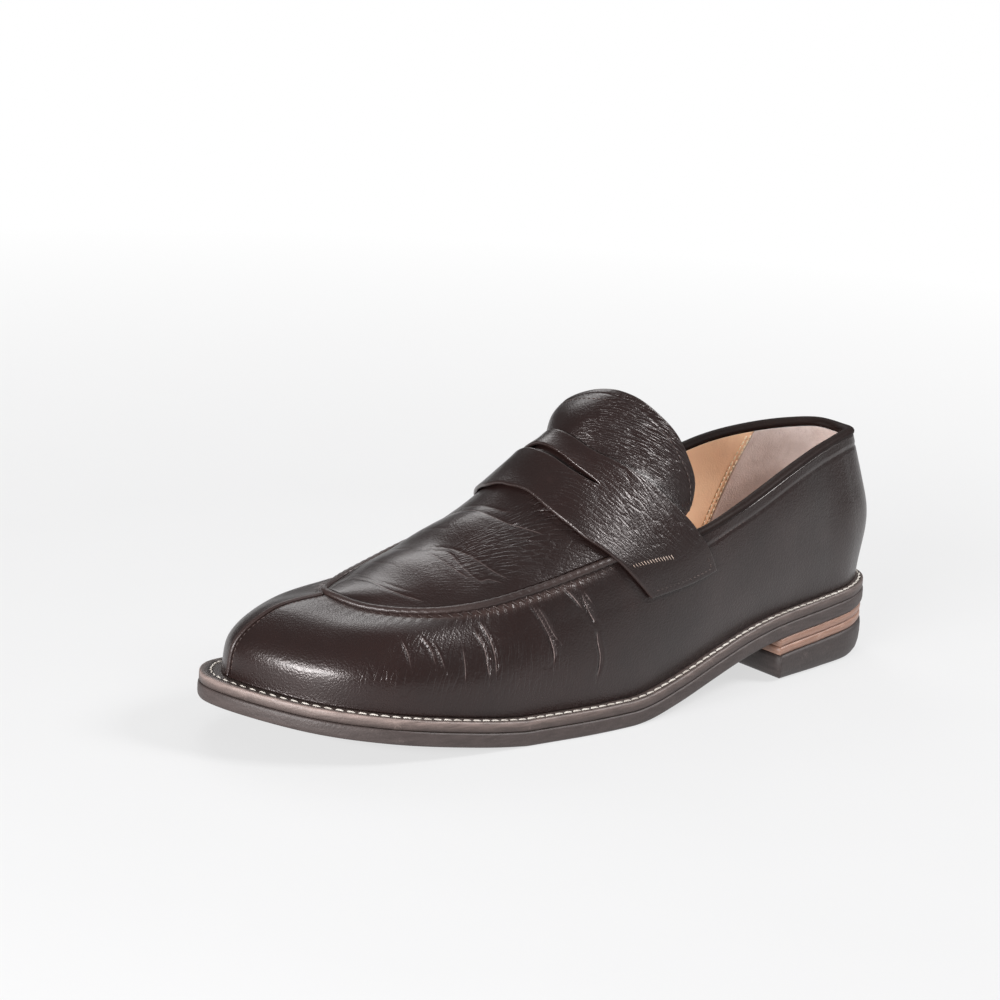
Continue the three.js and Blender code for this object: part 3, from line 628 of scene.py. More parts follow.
# rubbed light patches, stronger where the mask is high
def buildWearGroup():
    tree, given, out = newGroup("rubbedWear", [
        ("Place", vector, None), ("Scale", number, 180), ("Amount", number, 0.5), ("Mask", number, 1)],
        [("Wear", number), ("Height", number)])
    wide = addNode(tree, "ShaderNodeTexNoise", {"Vector": given["Place"], "Scale": given["Scale"],
                                                "Detail": 6, "Roughness": 0.7})
    fine = addNode(tree, "ShaderNodeTexNoise", {"Vector": given["Place"], "Scale": 1900, "Detail": 3})
    both = mathNode(tree, "ADD", wide.outputs["Fac"], mathNode(tree, "MULTIPLY", fine.outputs["Fac"], 0.35))
    level = mathNode(tree, "SUBTRACT", 0.95, mathNode(tree, "MULTIPLY", given["Amount"], 0.5))
    over = mathNode(tree, "SUBTRACT", both, level)
    wear = mathNode(tree, "MULTIPLY", mathNode(tree, "MULTIPLY", over, 5.0, clamp=True), given["Mask"])
    tree.links.new(wear, out["Wear"])
    tree.links.new(both, out["Height"])
    return tree


grainGroup, wrinkleGroup, wearGroup = buildGrainGroup(), buildWrinkleGroup(), buildWearGroup()


def useGroup(tree, group, inputs):
    return addNode(tree, "ShaderNodeGroup", inputs, node_tree=group).outputs


def newMaterial(name):
    material = bpy.data.materials.new(name)
    material.use_nodes = True
    tree = material.node_tree
    return material, tree, tree.nodes["Principled BSDF"].inputs


def attribute(tree, name, output="Fac"):
    return addNode(tree, "ShaderNodeAttribute", attribute_name=name).outputs[output]


def objectPlace(tree):
    return addNode(tree, "ShaderNodeTexCoord").outputs["Object"]


def addBump(tree, shader, height, strength, distance, normal=None):
    keys = {"Height": height, "Strength": strength, "Distance": distance}
    if normal is not None:
        keys["Normal"] = normal
    made = addNode(tree, "ShaderNodeBump", keys).outputs[0]
    tree.links.new(made, shader["Normal"])
    return made


# upper leather: dark body colour, slow patches, pores, and crinkles where the mesh's crinkle mask asks
def upperLeather(name, look):
    material, tree, shader = newMaterial(name)
    spot = objectPlace(tree)
    grain = useGroup(tree, grainGroup, {"Place": spot, "Pebble": look["pebble"], "Patch": 26, "Depth": 1})
    skin = attribute(tree, "skin", "Vector")
    crinkle = attribute(tree, "crinkle")
    lines = useGroup(tree, wrinkleGroup, {"Place": skin, "Turn": look["turn"], "Length": look["length"],
                                          "Spacing": look["spacing"], "Mask": crinkle})
    wear = useGroup(tree, wearGroup, {"Place": spot, "Scale": 60, "Amount": look["wear"], "Mask": 1.0})
    tone = mixColour(tree, grain["Patches"], look["dark"], look["body"])
    tone = mixColour(tree, mathNode(tree, "MULTIPLY", wear["Wear"], 0.35), tone, look["rubbed"])
    tone = mixColour(tree, mathNode(tree, "MULTIPLY", grain["Pores"], 0.35), tone, look["dark"])
    # the mesh mask read here lightens the leather towards the edge colour along cut edges, seam beads and the
    # lip under the apron seam: painted highlight mixed with rubbed wear
    rubbed = attribute(tree, "rubAndSheen")
    tone = mixColour(tree, rubbed, tone, look["edge"])
    # pale lines along the creases: a painted highlight on the crease ridges, broken up by the wear noise
    far = mathNode(tree, "ABSOLUTE", attribute(tree, "creaseAt"))
    broken = mapRange(tree, wear["Height"], 0.5, 0.75, 0.35, 1)
    creaseHighlight = mathNode(tree, "MULTIPLY", mapRange(tree, far, 0.03, 0.27, 1, 0), attribute(tree, "creaseHow"))
    tone = mixColour(tree, mathNode(tree, "MULTIPLY", creaseHighlight, broken), tone, look["creaseHighlight"])
    tree.links.new(tone, shader["Base Color"])
    rough = mapRange(tree, grain["Patches"], 0, 1, look["rough"] + 0.07, look["rough"] - 0.03)
    rough = mathNode(tree, "ADD", rough, mathNode(tree, "MULTIPLY", grain["Pores"], 0.06))
    tree.links.new(rough, shader["Roughness"])
    shader["Specular IOR Level"].default_value = look["specular"]
    shader["Specular Tint"].default_value = look["tint"]
    shader["Coat Weight"].default_value = look["coat"]
    shader["Coat Roughness"].default_value = look["coatRough"]
    first = addBump(tree, shader, grain["Height"], look["bump"], 0.00016)
    second = addBump(tree, shader, lines["Height"], look["crease"], 0.00026, first)
    fold = mathNode(tree, "MULTIPLY", mapRange(tree, far, 0, 1.1, -1, 0), attribute(tree, "creaseHow"))
    addBump(tree, shader, fold, 0.8, 0.0006, second)
    return material


# edge is the paler colour of cut edges and seam beads, partly rubbed wear and partly painted highlight; the
# pale crease colour is a painted highlight along crease ridges
espresso = {
    "dark": (0.0086, 0.0040, 0.0035, 1), "body": (0.0160, 0.0075, 0.0067, 1),
    "rubbed": (0.040, 0.021, 0.019, 1), "edge": (0.10, 0.062, 0.054, 1), "creaseHighlight": (0.27, 0.205, 0.195, 1),
    "pebble": 1300, "turn": 0.0, "length": 70, "spacing": 480, "wear": 0.35, "rough": 0.285, "specular": 0.46,
    "coat": 0.14, "coatRough": 0.2, "bump": 0.4, "crease": 0.6, "tint": (1, 0.93, 0.92, 1),
}
sideLeather = upperLeather("sideLeather", espresso)
apronLeather = upperLeather("apronLeather", {**espresso, "turn": 1.15, "length": 110, "spacing": 520,
                                             "crease": 1.0})
strapLeather = upperLeather("strapLeather", {**espresso, "turn": 0.8, "length": 110, "spacing": 680,
                                             "crease": 0.6, "rough": 0.29})
tongueLeather = upperLeather("tongueLeather", {**espresso, "turn": 0.7, "length": 140, "spacing": 600,
                                              "crease": 0.7, "rough": 0.28})
seamLeather = upperLeather("seamLeather", {**espresso, "rough": 0.4})
bindingLeather = upperLeather("bindingLeather", {**espresso, "rough": 0.5, "coat": 0.0, "specular": 0.1,
                                                 "body": (0.010, 0.006, 0.005, 1)})


# soft matt goods: lining, suede, boards and stiffeners
def mattGoods(name, look):
    material, tree, shader = newMaterial(name)
    spot = objectPlace(tree)
    grain = useGroup(tree, grainGroup, {"Place": spot, "Pebble": look["pebble"], "Patch": look["patch"]})
    wear = useGroup(tree, wearGroup, {"Place": spot, "Scale": look["stain"], "Amount": 0.5})
    tone = mixColour(tree, grain["Patches"], look["dark"], look["body"])
    tone = mixColour(tree, mathNode(tree, "MULTIPLY", wear["Wear"], look["worn"]), tone, look["rubbed"])
    tree.links.new(tone, shader["Base Color"])
    tree.links.new(mapRange(tree, grain["Pores"], 0, 1, look["rough"] - 0.05, look["rough"] + 0.05),
                   shader["Roughness"])
    shader["Sheen Weight"].default_value = look.get("sheen", 0)
    shader["Sheen Roughness"].default_value = 0.5
    addBump(tree, shader, grain["Height"], look["bump"], 0.0002)
    return material


tan = {"dark": (0.92, 0.60, 0.40, 1), "body": (0.98, 0.70, 0.47, 1), "rubbed": (0.66, 0.40, 0.25, 1),
       "pebble": 1500, "patch": 35, "stain": 45, "worn": 0.4, "rough": 0.62, "bump": 0.2}
tanLining = mattGoods("tanLining", tan)
heelSuede = mattGoods("heelSuede", {**tan, "dark": (0.50, 0.41, 0.38, 1), "body": (0.70, 0.61, 0.58, 1),
                                    "rubbed": (0.38, 0.29, 0.26, 1), "patch": 60, "worn": 0.6, "rough": 0.92,
                                    "bump": 0.5, "sheen": 0.35})
boardLook = mattGoods("insoleBoard", {**tan, "dark": (0.33, 0.21, 0.12, 1), "body": (0.42, 0.28, 0.16, 1),
                                      "rough": 0.8})
feltLook = mattGoods("stiffenerFelt", {**tan, "dark": (0.55, 0.50, 0.42, 1), "body": (0.68, 0.62, 0.53, 1),
                                       "pebble": 700, "rough": 0.9, "bump": 0.6})
ribLook = mattGoods("ribTape", {**tan, "dark": (0.62, 0.59, 0.52, 1), "body": (0.75, 0.72, 0.65, 1),
                                "pebble": 900, "rough": 0.9, "bump": 0.6})
corkLook = mattGoods("corkFiller", {**tan, "dark": (0.17, 0.09, 0.045, 1), "body": (0.42, 0.27, 0.14, 1),
                                    "pebble": 420, "patch": 300, "rough": 0.93, "bump": 1.0})
threadGoods = {**tan, "pebble": 2600, "patch": 120, "rough": 0.6, "bump": 0.6}
threadLook = mattGoods("weltThread", {**threadGoods, "dark": (0.38, 0.34, 0.30, 1),
                                      "body": (0.64, 0.60, 0.55, 1), "rubbed": (0.28, 0.24, 0.21, 1),
                                      "rough": 0.7})
brownThread = mattGoods("brownThread", {**threadGoods, "dark": (0.028, 0.017, 0.015, 1),
                                        "body": (0.062, 0.039, 0.034, 1), "rubbed": (0.12, 0.08, 0.07, 1)})
paleThread = mattGoods("paleThread", {**threadGoods, "dark": (0.86, 0.74, 0.54, 1),
                                      "body": (0.95, 0.86, 0.68, 1), "rubbed": (0.8, 0.7, 0.5, 1),
                                      "bump": 0.3})
creamThread = mattGoods("creamThread", {**threadGoods, "dark": (0.33, 0.25, 0.21, 1),
                                        "body": (0.46, 0.36, 0.30, 1), "bump": 0.5})


# sole goods: even body colour with streaks round the edge, dust and rubbed light spots, and a paler edge
# where the mesh mask asks, which is rubbed wear with painted highlight
def soleGoods(name, look):
    material, tree, shader = newMaterial(name)
    spot = objectPlace(tree)
    parts = addNode(tree, "ShaderNodeSeparateXYZ", {0: spot}).outputs
    flatter = addNode(tree, "ShaderNodeCombineXYZ", {0: parts[0], 1: parts[1],
                                                     2: mathNode(tree, "MULTIPLY", parts[2], look["streak"])})
    streaks = addNode(tree, "ShaderNodeTexNoise", {"Vector": flatter.outputs[0], "Scale": look["scale"],
                                                   "Detail": 5, "Roughness": 0.65})
    wear = useGroup(tree, wearGroup, {"Place": spot, "Scale": look["wearScale"], "Amount": look["wear"]})
    grain = useGroup(tree, grainGroup, {"Place": spot, "Pebble": look["pebble"], "Patch": 60})
    tone = mixColour(tree, mapRange(tree, streaks.outputs["Fac"], 0.3, 0.7, 0, 1), look["dark"], look["body"])
    tone = mixColour(tree, mathNode(tree, "MULTIPLY", wear["Wear"], look["worn"]), tone, look["rubbed"])
    # the mesh mask read here paints a highlight, with rubbed wear, along the welt's outer edge
    rubbed, uneven = attribute(tree, "rubAndSheen"), mapRange(tree, streaks.outputs["Fac"], 0.3, 0.6, 0.4, 1)
    edge = mathNode(tree, "MULTIPLY", rubbed, uneven)
    tone = mixColour(tree, edge, tone, look["edge"])
    tree.links.new(tone, shader["Base Color"])
    tree.links.new(mapRange(tree, wear["Wear"], 0, 1, look["rough"], look["rough"] + 0.15),
                   shader["Roughness"])
    both = mathNode(tree, "ADD", mathNode(tree, "MULTIPLY", streaks.outputs["Fac"], 1.5), grain["Height"])
    addBump(tree, shader, both, look["bump"], 0.00025)
    return material


# edge is the pale colour that the mesh's edge mask lightens towards; only the welt carries that mask, on its
# outer edge, as rubbed wear with painted highlight
rubber = {"dark": (0.034, 0.024, 0.022, 1), "body": (0.060, 0.044, 0.041, 1), "rubbed": (0.15, 0.12, 0.11, 1),
          "streak": 6, "scale": 120, "wearScale": 200, "wear": 0.35, "worn": 0.6, "pebble": 1300,
          "rough": 0.55, "bump": 0.3, "edge": (0.42, 0.32, 0.29, 1)}
soleRubber = soleGoods("soleRubber", rubber)
heelRubber = soleGoods("heelRubber", {**rubber, "dark": (0.028, 0.020, 0.019, 1),
                                      "body": (0.046, 0.034, 0.032, 1)})
weltLeather = soleGoods("weltLeather", {**rubber, "dark": (0.034, 0.023, 0.020, 1),
                                        "body": (0.062, 0.043, 0.038, 1), "rubbed": (0.33, 0.25, 0.22, 1),
                                        "streak": 8, "wear": 0.3, "worn": 0.5, "wearScale": 90, "rough": 0.5})
stackLeather = soleGoods("stackLeather", {**rubber, "dark": (0.20, 0.105, 0.072, 1),
                                          "body": (0.34, 0.195, 0.145, 1), "rubbed": (0.48, 0.33, 0.26, 1),
                                          "streak": 14, "scale": 90, "wear": 0.4, "rough": 0.42})
print("materials ready")

# the sides of the upper
sideLook = {
    "columns": 420, "rows": 80, "top": 0.965, "grooveBelow": 7.2, "grooveDepth": 0.32, "puckerPitch": 3.6,
    "puckerDepth": 0.32, "heelSwell": 1.8,
}
wallBulge = 1.07  # length of the curved wall against the straight line from welt to seam
wallLength = through([[s, float(np.linalg.norm(wall(s, 1.0) - wall(s, 0.0)) * wallBulge)]
                      for s in np.linspace(0, ringCount, 105)])
seamStations = np.linspace(0, ringCount, 2601)
seamRun = runAlong(ringAt(seamPoints, seamStations)[:, None], 0)[:, 0]


def seamMm(s):
    return np.interp(s, seamStations, seamRun)


# station, height pairs down the wall, with depth and width of each crease in millimetres
sideCreases = [
    ([(8.26, 0.9), (8.12, 0.725), (7.96, 0.57)], 0.5, 0.8),
    ([(7.99, 0.6), (7.97, 0.5), (7.9, 0.35), (7.94, 0.2)], 0.4, 0.75),
    ([(8.5, 0.94), (8.36, 0.85), (8.22, 0.74)], 0.35, 0.7),
    ([(8.3, 0.93), (8.18, 0.86), (8.04, 0.75)], 0.3, 0.6),
    ([(9.08, 0.93), (8.87, 0.735), (8.77, 0.62), (8.7, 0.485), (8.71, 0.39)], 0.5, 0.8),
    ([(8.99, 0.9), (8.82, 0.75), (8.7, 0.62), (8.62, 0.56)], 0.35, 0.7),
    ([(9.98, 0.86), (9.76, 0.66), (9.67, 0.505), (9.64, 0.36)], 0.3, 0.7),
    ([(10.05, 0.78), (9.86, 0.6), (9.8, 0.48), (9.73, 0.33)], 0.3, 0.6),
    ([(10.2, 0.62), (10.12, 0.45), (10.08, 0.3)], 0.22, 0.6),
    ([(10.64, 0.65), (10.48, 0.525), (10.37, 0.4)], 0.2, 0.6),
    ([(10.85, 0.7), (10.62, 0.57), (10.5, 0.43)], 0.2, 0.6),
    ([(11.06, 0.64), (10.9, 0.52), (10.8, 0.4)], 0.16, 0.6),
]


def inner(s):
    return np.where(s > toeStation, ringCount - s, s)


def sideRelief(s, v, p, creases):
    side = inner(s)
    below = (1 - v) * wallLength(s)
    run = seamMm(s)
    pucker = (0.5 + 0.5 * np.cos(2 * math.pi * run / sideLook["puckerPitch"] + 0.8 * np.sin(run / 7)))
    where = ease(7.2, 8.6, side) * (1 - 0.75 * ease(11.2, 12.4, side))
    fade = np.exp(-np.abs(below - 2.4) / (2.0 + 1.5 * np.abs(np.sin(run / 9))))
    rise = -sideLook["puckerDepth"] * where * pucker * fade
    rise -= 0.35 * where * bell(below, 2.6, 0.9)
    collar = 1 - ease(5.4, 6.2, side)
    rise += collar * (0.12 * (1 - ease(sideLook["grooveBelow"] - 1, sideLook["grooveBelow"] + 0.2, below))
                      - sideLook["grooveDepth"] * bell(below, sideLook["grooveBelow"], 0.55))
    ripple = 0.14 * np.sin(p[..., 1] / 13 + p[..., 2] / 9) * np.sin(p[..., 2] / 11 + 1.3)
    rise += ripple * (1 - ease(11, 12.5, side))
    rise += sideLook["heelSwell"] * bell(v, 0.46, 0.2) * (1 - ease(1.2, 3.2, side))
    if creases:
        rise += creaseRelief(p, wall, creases)
    return rise


def makeSide(name, fromS, toS, creases, stands):
    us = edged(fromS, toS, sideLook["columns"], 0.03, 0.03)
    vs = np.concatenate([np.linspace(0.012, 0.93, sideLook["rows"]),
                         sideLook["top"] - (sideLook["top"] - 0.93) * (1 - np.linspace(0, 1, 10)[1:]) ** 2])
    u, v = np.meshgrid(us, vs, indexing="ij")
    topAt = mix(sideLook["top"], 0.995, ease(5.6, 6.4, inner(u)))
    v = np.where(v > 0.5, 0.5 + (v - 0.5) * (topAt - 0.5) / (sideLook["top"] - 0.5), v)
    p, n = normalOf(wall, u, v, 0.02, 0.01)
    alongU = runAlong(p, 0)
    toU = np.minimum(alongU, alongU[-1:] - alongU)
    full = edgeFullness(toU, 0.8) * edgeFullness((topAt - v) * wallLength(u), 0.7)
    rise = sideRelief(u, v, p, creases)
    outer = p + n * (rise - shoe["leather"] / 2 * (1 - full))[..., None]
    innerFace = p - n * (shoe["leather"] * (1 + full) / 2)[..., None]
    turnIn = 8 * (1 - 0.6 * bell(us, toeStation, 1.3))
    rowsOut, rowsIn = [], []
    for w in (1, 0.7, 0.4, 0.18, 0.07, 0.015, 0):
        a = inset(us, reach(us) + w * turnIn)
        b = inset(us, reach(us) + shoe["leather"] + w * (turnIn - shoe["leather"]))
        a[:, 2] = seatZ(tOf(a)) + shoe["gap"] + (0.22 if w == 0 else 0.05 if w < 0.02 else 0)
        b[:, 2] = seatZ(tOf(b)) + shoe["gap"] + shoe["leather"]
        rowsOut.append(a)
        rowsIn.append(b)
    outer = np.concatenate([np.stack(rowsOut, 1), outer], 1)
    innerFace = np.concatenate([np.stack(rowsIn, 1), innerFace], 1)
    points, faces = sheetParts(outer, innerFace)
    extra = len(rowsOut)
    fullV = np.concatenate([np.zeros((len(us), extra)), v], 1)
    fullU = np.concatenate([u[:, :1].repeat(extra, 1), u], 1)
    skin = np.stack([seamMm(fullU), fullV * wallLength(fullU), 0 * fullU], -1) / 1000
    side, below = inner(fullU), (1 - fullV) * wallLength(fullU)
    crinkle = 0.85 * ease(8.0, 9.0, side) * (1 - ease(10.9, 11.7, side)) * bell(fullV, 0.42, 0.3)
    nearSeam = 0.5 * ease(7.4, 8.6, side) * bell(below, 3, 4) * (1 - ease(11, 12.4, side))
    crinkle = np.maximum(crinkle, nearSeam)
    # a lighter band about 3 mm below the apron seam, over the puckered lip: painted highlight with some
    # rubbed wear
    rubAndSheen = 0.25 * ease(7.4, 8.6, side) * bell(below, 3.2, 1.6) * (1 - 0.7 * ease(11, 12.6, side))
    masks = {"crinkle": np.concatenate([crinkle.ravel()] * 2), "rubAndSheen": np.concatenate([rubAndSheen.ravel()] * 2)}
    at, how = creaseField(p, n, wall, creases)
    for key, field, rest in (("creaseAt", at, 9.0), ("creaseHow", how, 0.0)):
        turned = np.full((len(us), extra), rest)
        masks[key] = np.concatenate([np.concatenate([turned, field], 1).ravel()] * 2)
    return makePiece(name, points, faces, sideLeather, "upper_leather", stands=stands,
                     skin=np.concatenate([skin.reshape(-1, 3)] * 2), masks=masks)


makeSide("outerSide", 0.03, toeStation - 0.03, sideCreases, ["upper_side_lateral"])
makeSide("innerSide", toeStation + 0.03, ringCount - 0.03, [], ["upper_side_medial"])
print("sides built")

# apron
apronLook = {"front": 256.6, "margin": 1.75, "backPast": 2.5, "creaseDepth": 0.2, "creaseShare": 0.28,
             "liningGap": 0.6}
apronCreases = [
    ([(192, 6.3), (194.2, 5.6), (194.5, 4.96), (193.3, 4.5), (189.7, 4.05), (185, 3.71)], 0.55, 1.1),
    ([(191, 5.9), (191.8, 5.3), (191, 4.8), (188, 4.4)], 0.25, 0.8),
    ([(218.7, 5.5), (215.9, 4.89), (214.2, 4.6), (215.4, 4.02), (215.2, 3.69), (211.4, 3.5), (207.6, 3.28)],
     0.4, 0.9),
    ([(216.4, 5.29), (213.2, 4.78), (210.4, 4.15), (208.4, 3.64), (205.4, 3.32)], 0.4, 0.9),
    ([(218.2, 4.95), (218.7, 4.49), (218, 3.98), (216.2, 3.57)], 0.35, 0.9),
    ([(217, 6.5), (218.5, 5.9), (218.7, 5.4)], 0.35, 1.0),
    ([(243, 6.3), (243.4, 5.5), (242.4, 4.92), (242.1, 4.35), (240.1, 3.81), (235.6, 3.32)], 0.4, 0.9),
    ([(238.1, 6.57), (240.6, 5.06), (239.1, 4.24), (236.3, 3.74)], 0.3, 0.8),
    ([(203, 6.6), (205, 5.9), (205.5, 5.2)], 0.2, 0.9),
    ([(229, 6.4), (230.5, 5.6), (230, 5)], 0.2, 0.9),
]


def apronSurface(k, sFull):
    k, sFull = np.broadcast_arrays(k, sFull)
    t = mix(strapBack(sFull) + apronLook["backPast"], apronLook["front"], k)
    trim = apronLook["margin"] / np.maximum(np.linalg.norm(arch(t, 4.0) - arch(t, 3.0), axis=-1), 1)
    return arch(t, mix(3 + trim, 7 - trim, (sFull - 3) / 4))


def apronRelief(k, s, p):
    t = tOf(p)
    rise = 0.12 * np.sin(t / 6.5 + s) * np.sin(s * 2.2 + 0.6)
    across = bell(s, 5.1, 1.6)
    rise += across * (0.75 * bell(t, 200.5, 6.5) + 0.8 * bell(t, 225.5, 6.5) - 0.55 * bell(t, 213.5, 5)
                      - 0.5 * bell(t, 239, 5) + 0.3 * bell(t, 248, 5) - 0.35 * bell(t, 192, 3))
    return rise + apronLook["creaseDepth"] * creaseRelief(p, arch, apronCreases)


def apronCrinkle(k, s, p):
    t = tOf(p)
    return np.clip(1.3 * bell(s, 3.75, 0.6) * bell(t, 186, 17) + 0.25 * bell(s, 6.2, 0.6) * bell(t, 190, 22)
                   + 0.35 * bell(t, 215, 14) * bell(s, 3.9, 0.8), 0, 1)


def apronField(which):
    def field(k, s, p):
        return creaseField(p, normalOf(apronSurface, k, s, 0.003, 0.02)[1], arch, apronCreases)[which]
    return field


def apronSkin(k, s, p):
    return np.stack([tOf(p), (s - 5) * 20, 0 * s], -1) / 1000


# crease strength on the apron, which sets both the fold bump and the painted highlight along the crease lines
def apronCreaseHow(k, s, p):
    return apronLook["creaseShare"] * apronField(1)(k, s, p)


apronMasks = {"crinkle": apronCrinkle, "rubAndSheen": lambda k, s, p: 0 * s, "creaseAt": apronField(0),
              "creaseHow": apronCreaseHow}
sheetPiece("apronPanel", apronSurface, edged(0, 1, 170, 0.007, 0.01), edged(3, 7, 110, 0.035, 0.035),
           (0.003, 0.02), -shoe["leather"], 0.0, apronLeather, "upper_leather", relief=apronRelief,
           skin=apronSkin, masks=apronMasks, stands=["apron"])
apronUnder = -shoe["leather"] - apronLook["liningGap"]
sheetPiece("apronLining", apronSurface, np.linspace(0, 0.97, 60), np.linspace(3, 7, 40), (0.003, 0.02),
           apronUnder - shoe["lining"], apronUnder, tanLining, "lining_leather",
           radii=(0.4, 0.4), stands=["apron_lining"])


# path along the apron seam, with its normals and directions across
def seamPath(fromS, toS, count, up=1.0, lift=0.0):
    s = np.linspace(fromS, toS, count)
    v = up(s) if callable(up) else np.full(count, up)
    p, n = normalOf(wall, s, v, 0.02, 0.01)
    return s, p + n * lift, n


def pathAcross(path, normals):
    tangent = unit(np.gradient(path, axis=0))
    up = unit(normals - np.sum(normals * tangent, -1, keepdims=True) * tangent)
    return np.cross(tangent, up), up


seamLook = {"beadBack": 161, "beadWide": 1.55, "beadHigh": 1.25, "lump": 0.06, "stitchBelow": 2.7,
            "stitchLong": 2.3, "stitchRadius": 0.3}
beadFrom, beadTo = (float(stationAt(seamLook["beadBack"], turn)) for turn in (1, -1))
s, path, n = seamPath(beadFrom, beadTo, 520, 1.0, 0.1)
across, up = pathAcross(path, n)
run = seamMm(s)
waves = np.sin(2 * math.pi * run / sideLook["puckerPitch"])
lump = 1 + seamLook["lump"] * waves * (1 - ease(11, 12.3, inner(s)) * 0.8)
points, faces = rodParts(path, across, up, seamLook["beadWide"] * lump, seamLook["beadHigh"] * (2 - lump), 14)
crinkle = np.zeros(len(points))
# the bead lightens in slow waves along its length: painted highlight with some rubbed wear
rubAndSheen = np.concatenate([np.repeat(0.06 + 0.12 * np.sin(run / 17) ** 2, 14), [0.1, 0.1]])
makePiece("apronSeam", points, faces, seamLeather, "upper_leather", stands=["apron_seam"],
          skin=points / 1000, masks={"crinkle": crinkle, "rubAndSheen": rubAndSheen})


def belowSeam(distance):
    return lambda s: 1 - distance / wallLength(s)


s, path, n = seamPath(beadFrom + 0.1, beadTo - 0.1, 700, belowSeam(seamLook["stitchBelow"]), -0.25)
points, faces = stitchParts(path, n, sideLook["puckerPitch"], seamLook["stitchLong"],
                            seamLook["stitchRadius"], slant=1.0, dip=0.35)
makePiece("apronStitches", points, faces, brownThread, "dark_thread")

# toe seam
toeSeamLook = {"wide": 1.15, "high": 0.75, "stitchAway": 2.1, "stitchPitch": 2.3, "stitchLong": 1.8,
               "stitchRadius": 0.22}
v = np.linspace(0.035, 0.965, 120)
path, n = normalOf(wall, np.full(120, float(toeStation)), v, 0.02, 0.01)
across, up = pathAcross(path, n)
points, faces = rodParts(path + n * 0.1, across, up, toeSeamLook["wide"], toeSeamLook["high"], 12)
# the toe seam bead is lightened evenly by its edge mask: painted highlight with some rubbed wear
makePiece("toeSeam", points, faces, seamLeather, "upper_leather", stands=["toe_seam"], skin=points / 1000,
          masks={"crinkle": np.zeros(len(points)), "rubAndSheen": np.full(len(points), 0.1)})
parts = []
for side in (-1, 1):
    spread = np.linalg.norm(wall(toeStation + 0.5, v) - wall(toeStation - 0.5, v), axis=-1)
    stationStep = side * toeSeamLook["stitchAway"] / spread
    row, rowN = normalOf(wall, toeStation + stationStep, v, 0.02, 0.01)
    parts.append(stitchParts(row[4:-6] - rowN[4:-6] * 0.05, rowN[4:-6], toeSeamLook["stitchPitch"],
                             toeSeamLook["stitchLong"], toeSeamLook["stitchRadius"], dip=0.2))
points, faces = joined(parts)
makePiece("toeStitches", points, faces, brownThread, "dark_thread")
print("apron and seams built")

# topline
toplineLook = {"past": 0.25, "wallPlace": 0.985, "rollWider": 0.45, "rollHigh": 1.75, "stitchPitch": 2.5,
               "stitchLong": 1.9, "stitchRadius": 0.24}
s = np.linspace(medialNotch - toplineLook["past"], ringCount + lateralNotch + toplineLook["past"], 420)
side = np.minimum(s % ringCount, ringCount - s % ringCount)
liningOut = shoe["leather"] + 0.3 + (shoe["stiffener"] + 0.6) * (1 - ease(4.53, 5.73, side))
liningIn = liningOut + shoe["lining"]
base, n = normalOf(wall, s, np.full(s.shape, toplineLook["wallPlace"]), 0.02, 0.01)
upward = unit(wall(s, 0.99) - wall(s, 0.9))
middle = base - n * (liningIn / 2 - 0.35)[:, None]
tangent = unit(np.gradient(middle, axis=0))
across = unit(n - np.sum(n * tangent, -1, keepdims=True) * tangent)
up = unit(np.cross(tangent, across))
up *= np.sign(np.sum(up * upward, -1, keepdims=True))
points, faces = rodParts(middle, across, up, liningIn / 2 + toplineLook["rollWider"], toplineLook["rollHigh"],
                         16)
# the roll is lightened very slightly by its edge mask: painted highlight with some rubbed wear
makePiece("toplineRoll", points, faces, bindingLeather, "upper_leather", stands=["topline_binding"],
          skin=points / 1000, masks={"crinkle": np.zeros(len(points)), "rubAndSheen": np.full(len(points), 0.03)})
s = np.linspace(medialNotch - 0.1, ringCount + lateralNotch + 0.1, 600)
path, n = normalOf(wall, s, 1 - (sideLook["grooveBelow"] - 0.1) / wallLength(s % ringCount), 0.02, 0.01)
points, faces = stitchParts(path - n * 0.42, n, toplineLook["stitchPitch"], toplineLook["stitchLong"],
                            toplineLook["stitchRadius"], dip=0.2)
makePiece("toplineStitches", points, faces, brownThread, "dark_thread")

# strap
strapLook = {"columns": 230, "rows": 34, "slotPlace": 0.6, "slotHalf": 1.7, "slotFrom": 3.82, "slotTo": 6.02,
             "lip": 0.7, "outerEnd": 1.97, "innerEnd": 8.14, "outerBar": 2.75, "innerBar": 7.28}


def slotGape(s):
    middle = (strapLook["slotFrom"] + strapLook["slotTo"]) / 2
    half = (strapLook["slotTo"] - strapLook["slotFrom"]) / 2
    k = 1 - ((s - middle) / half) ** 2
    return strapLook["slotHalf"] / 28 * np.sqrt(np.clip(k, 0, 1))


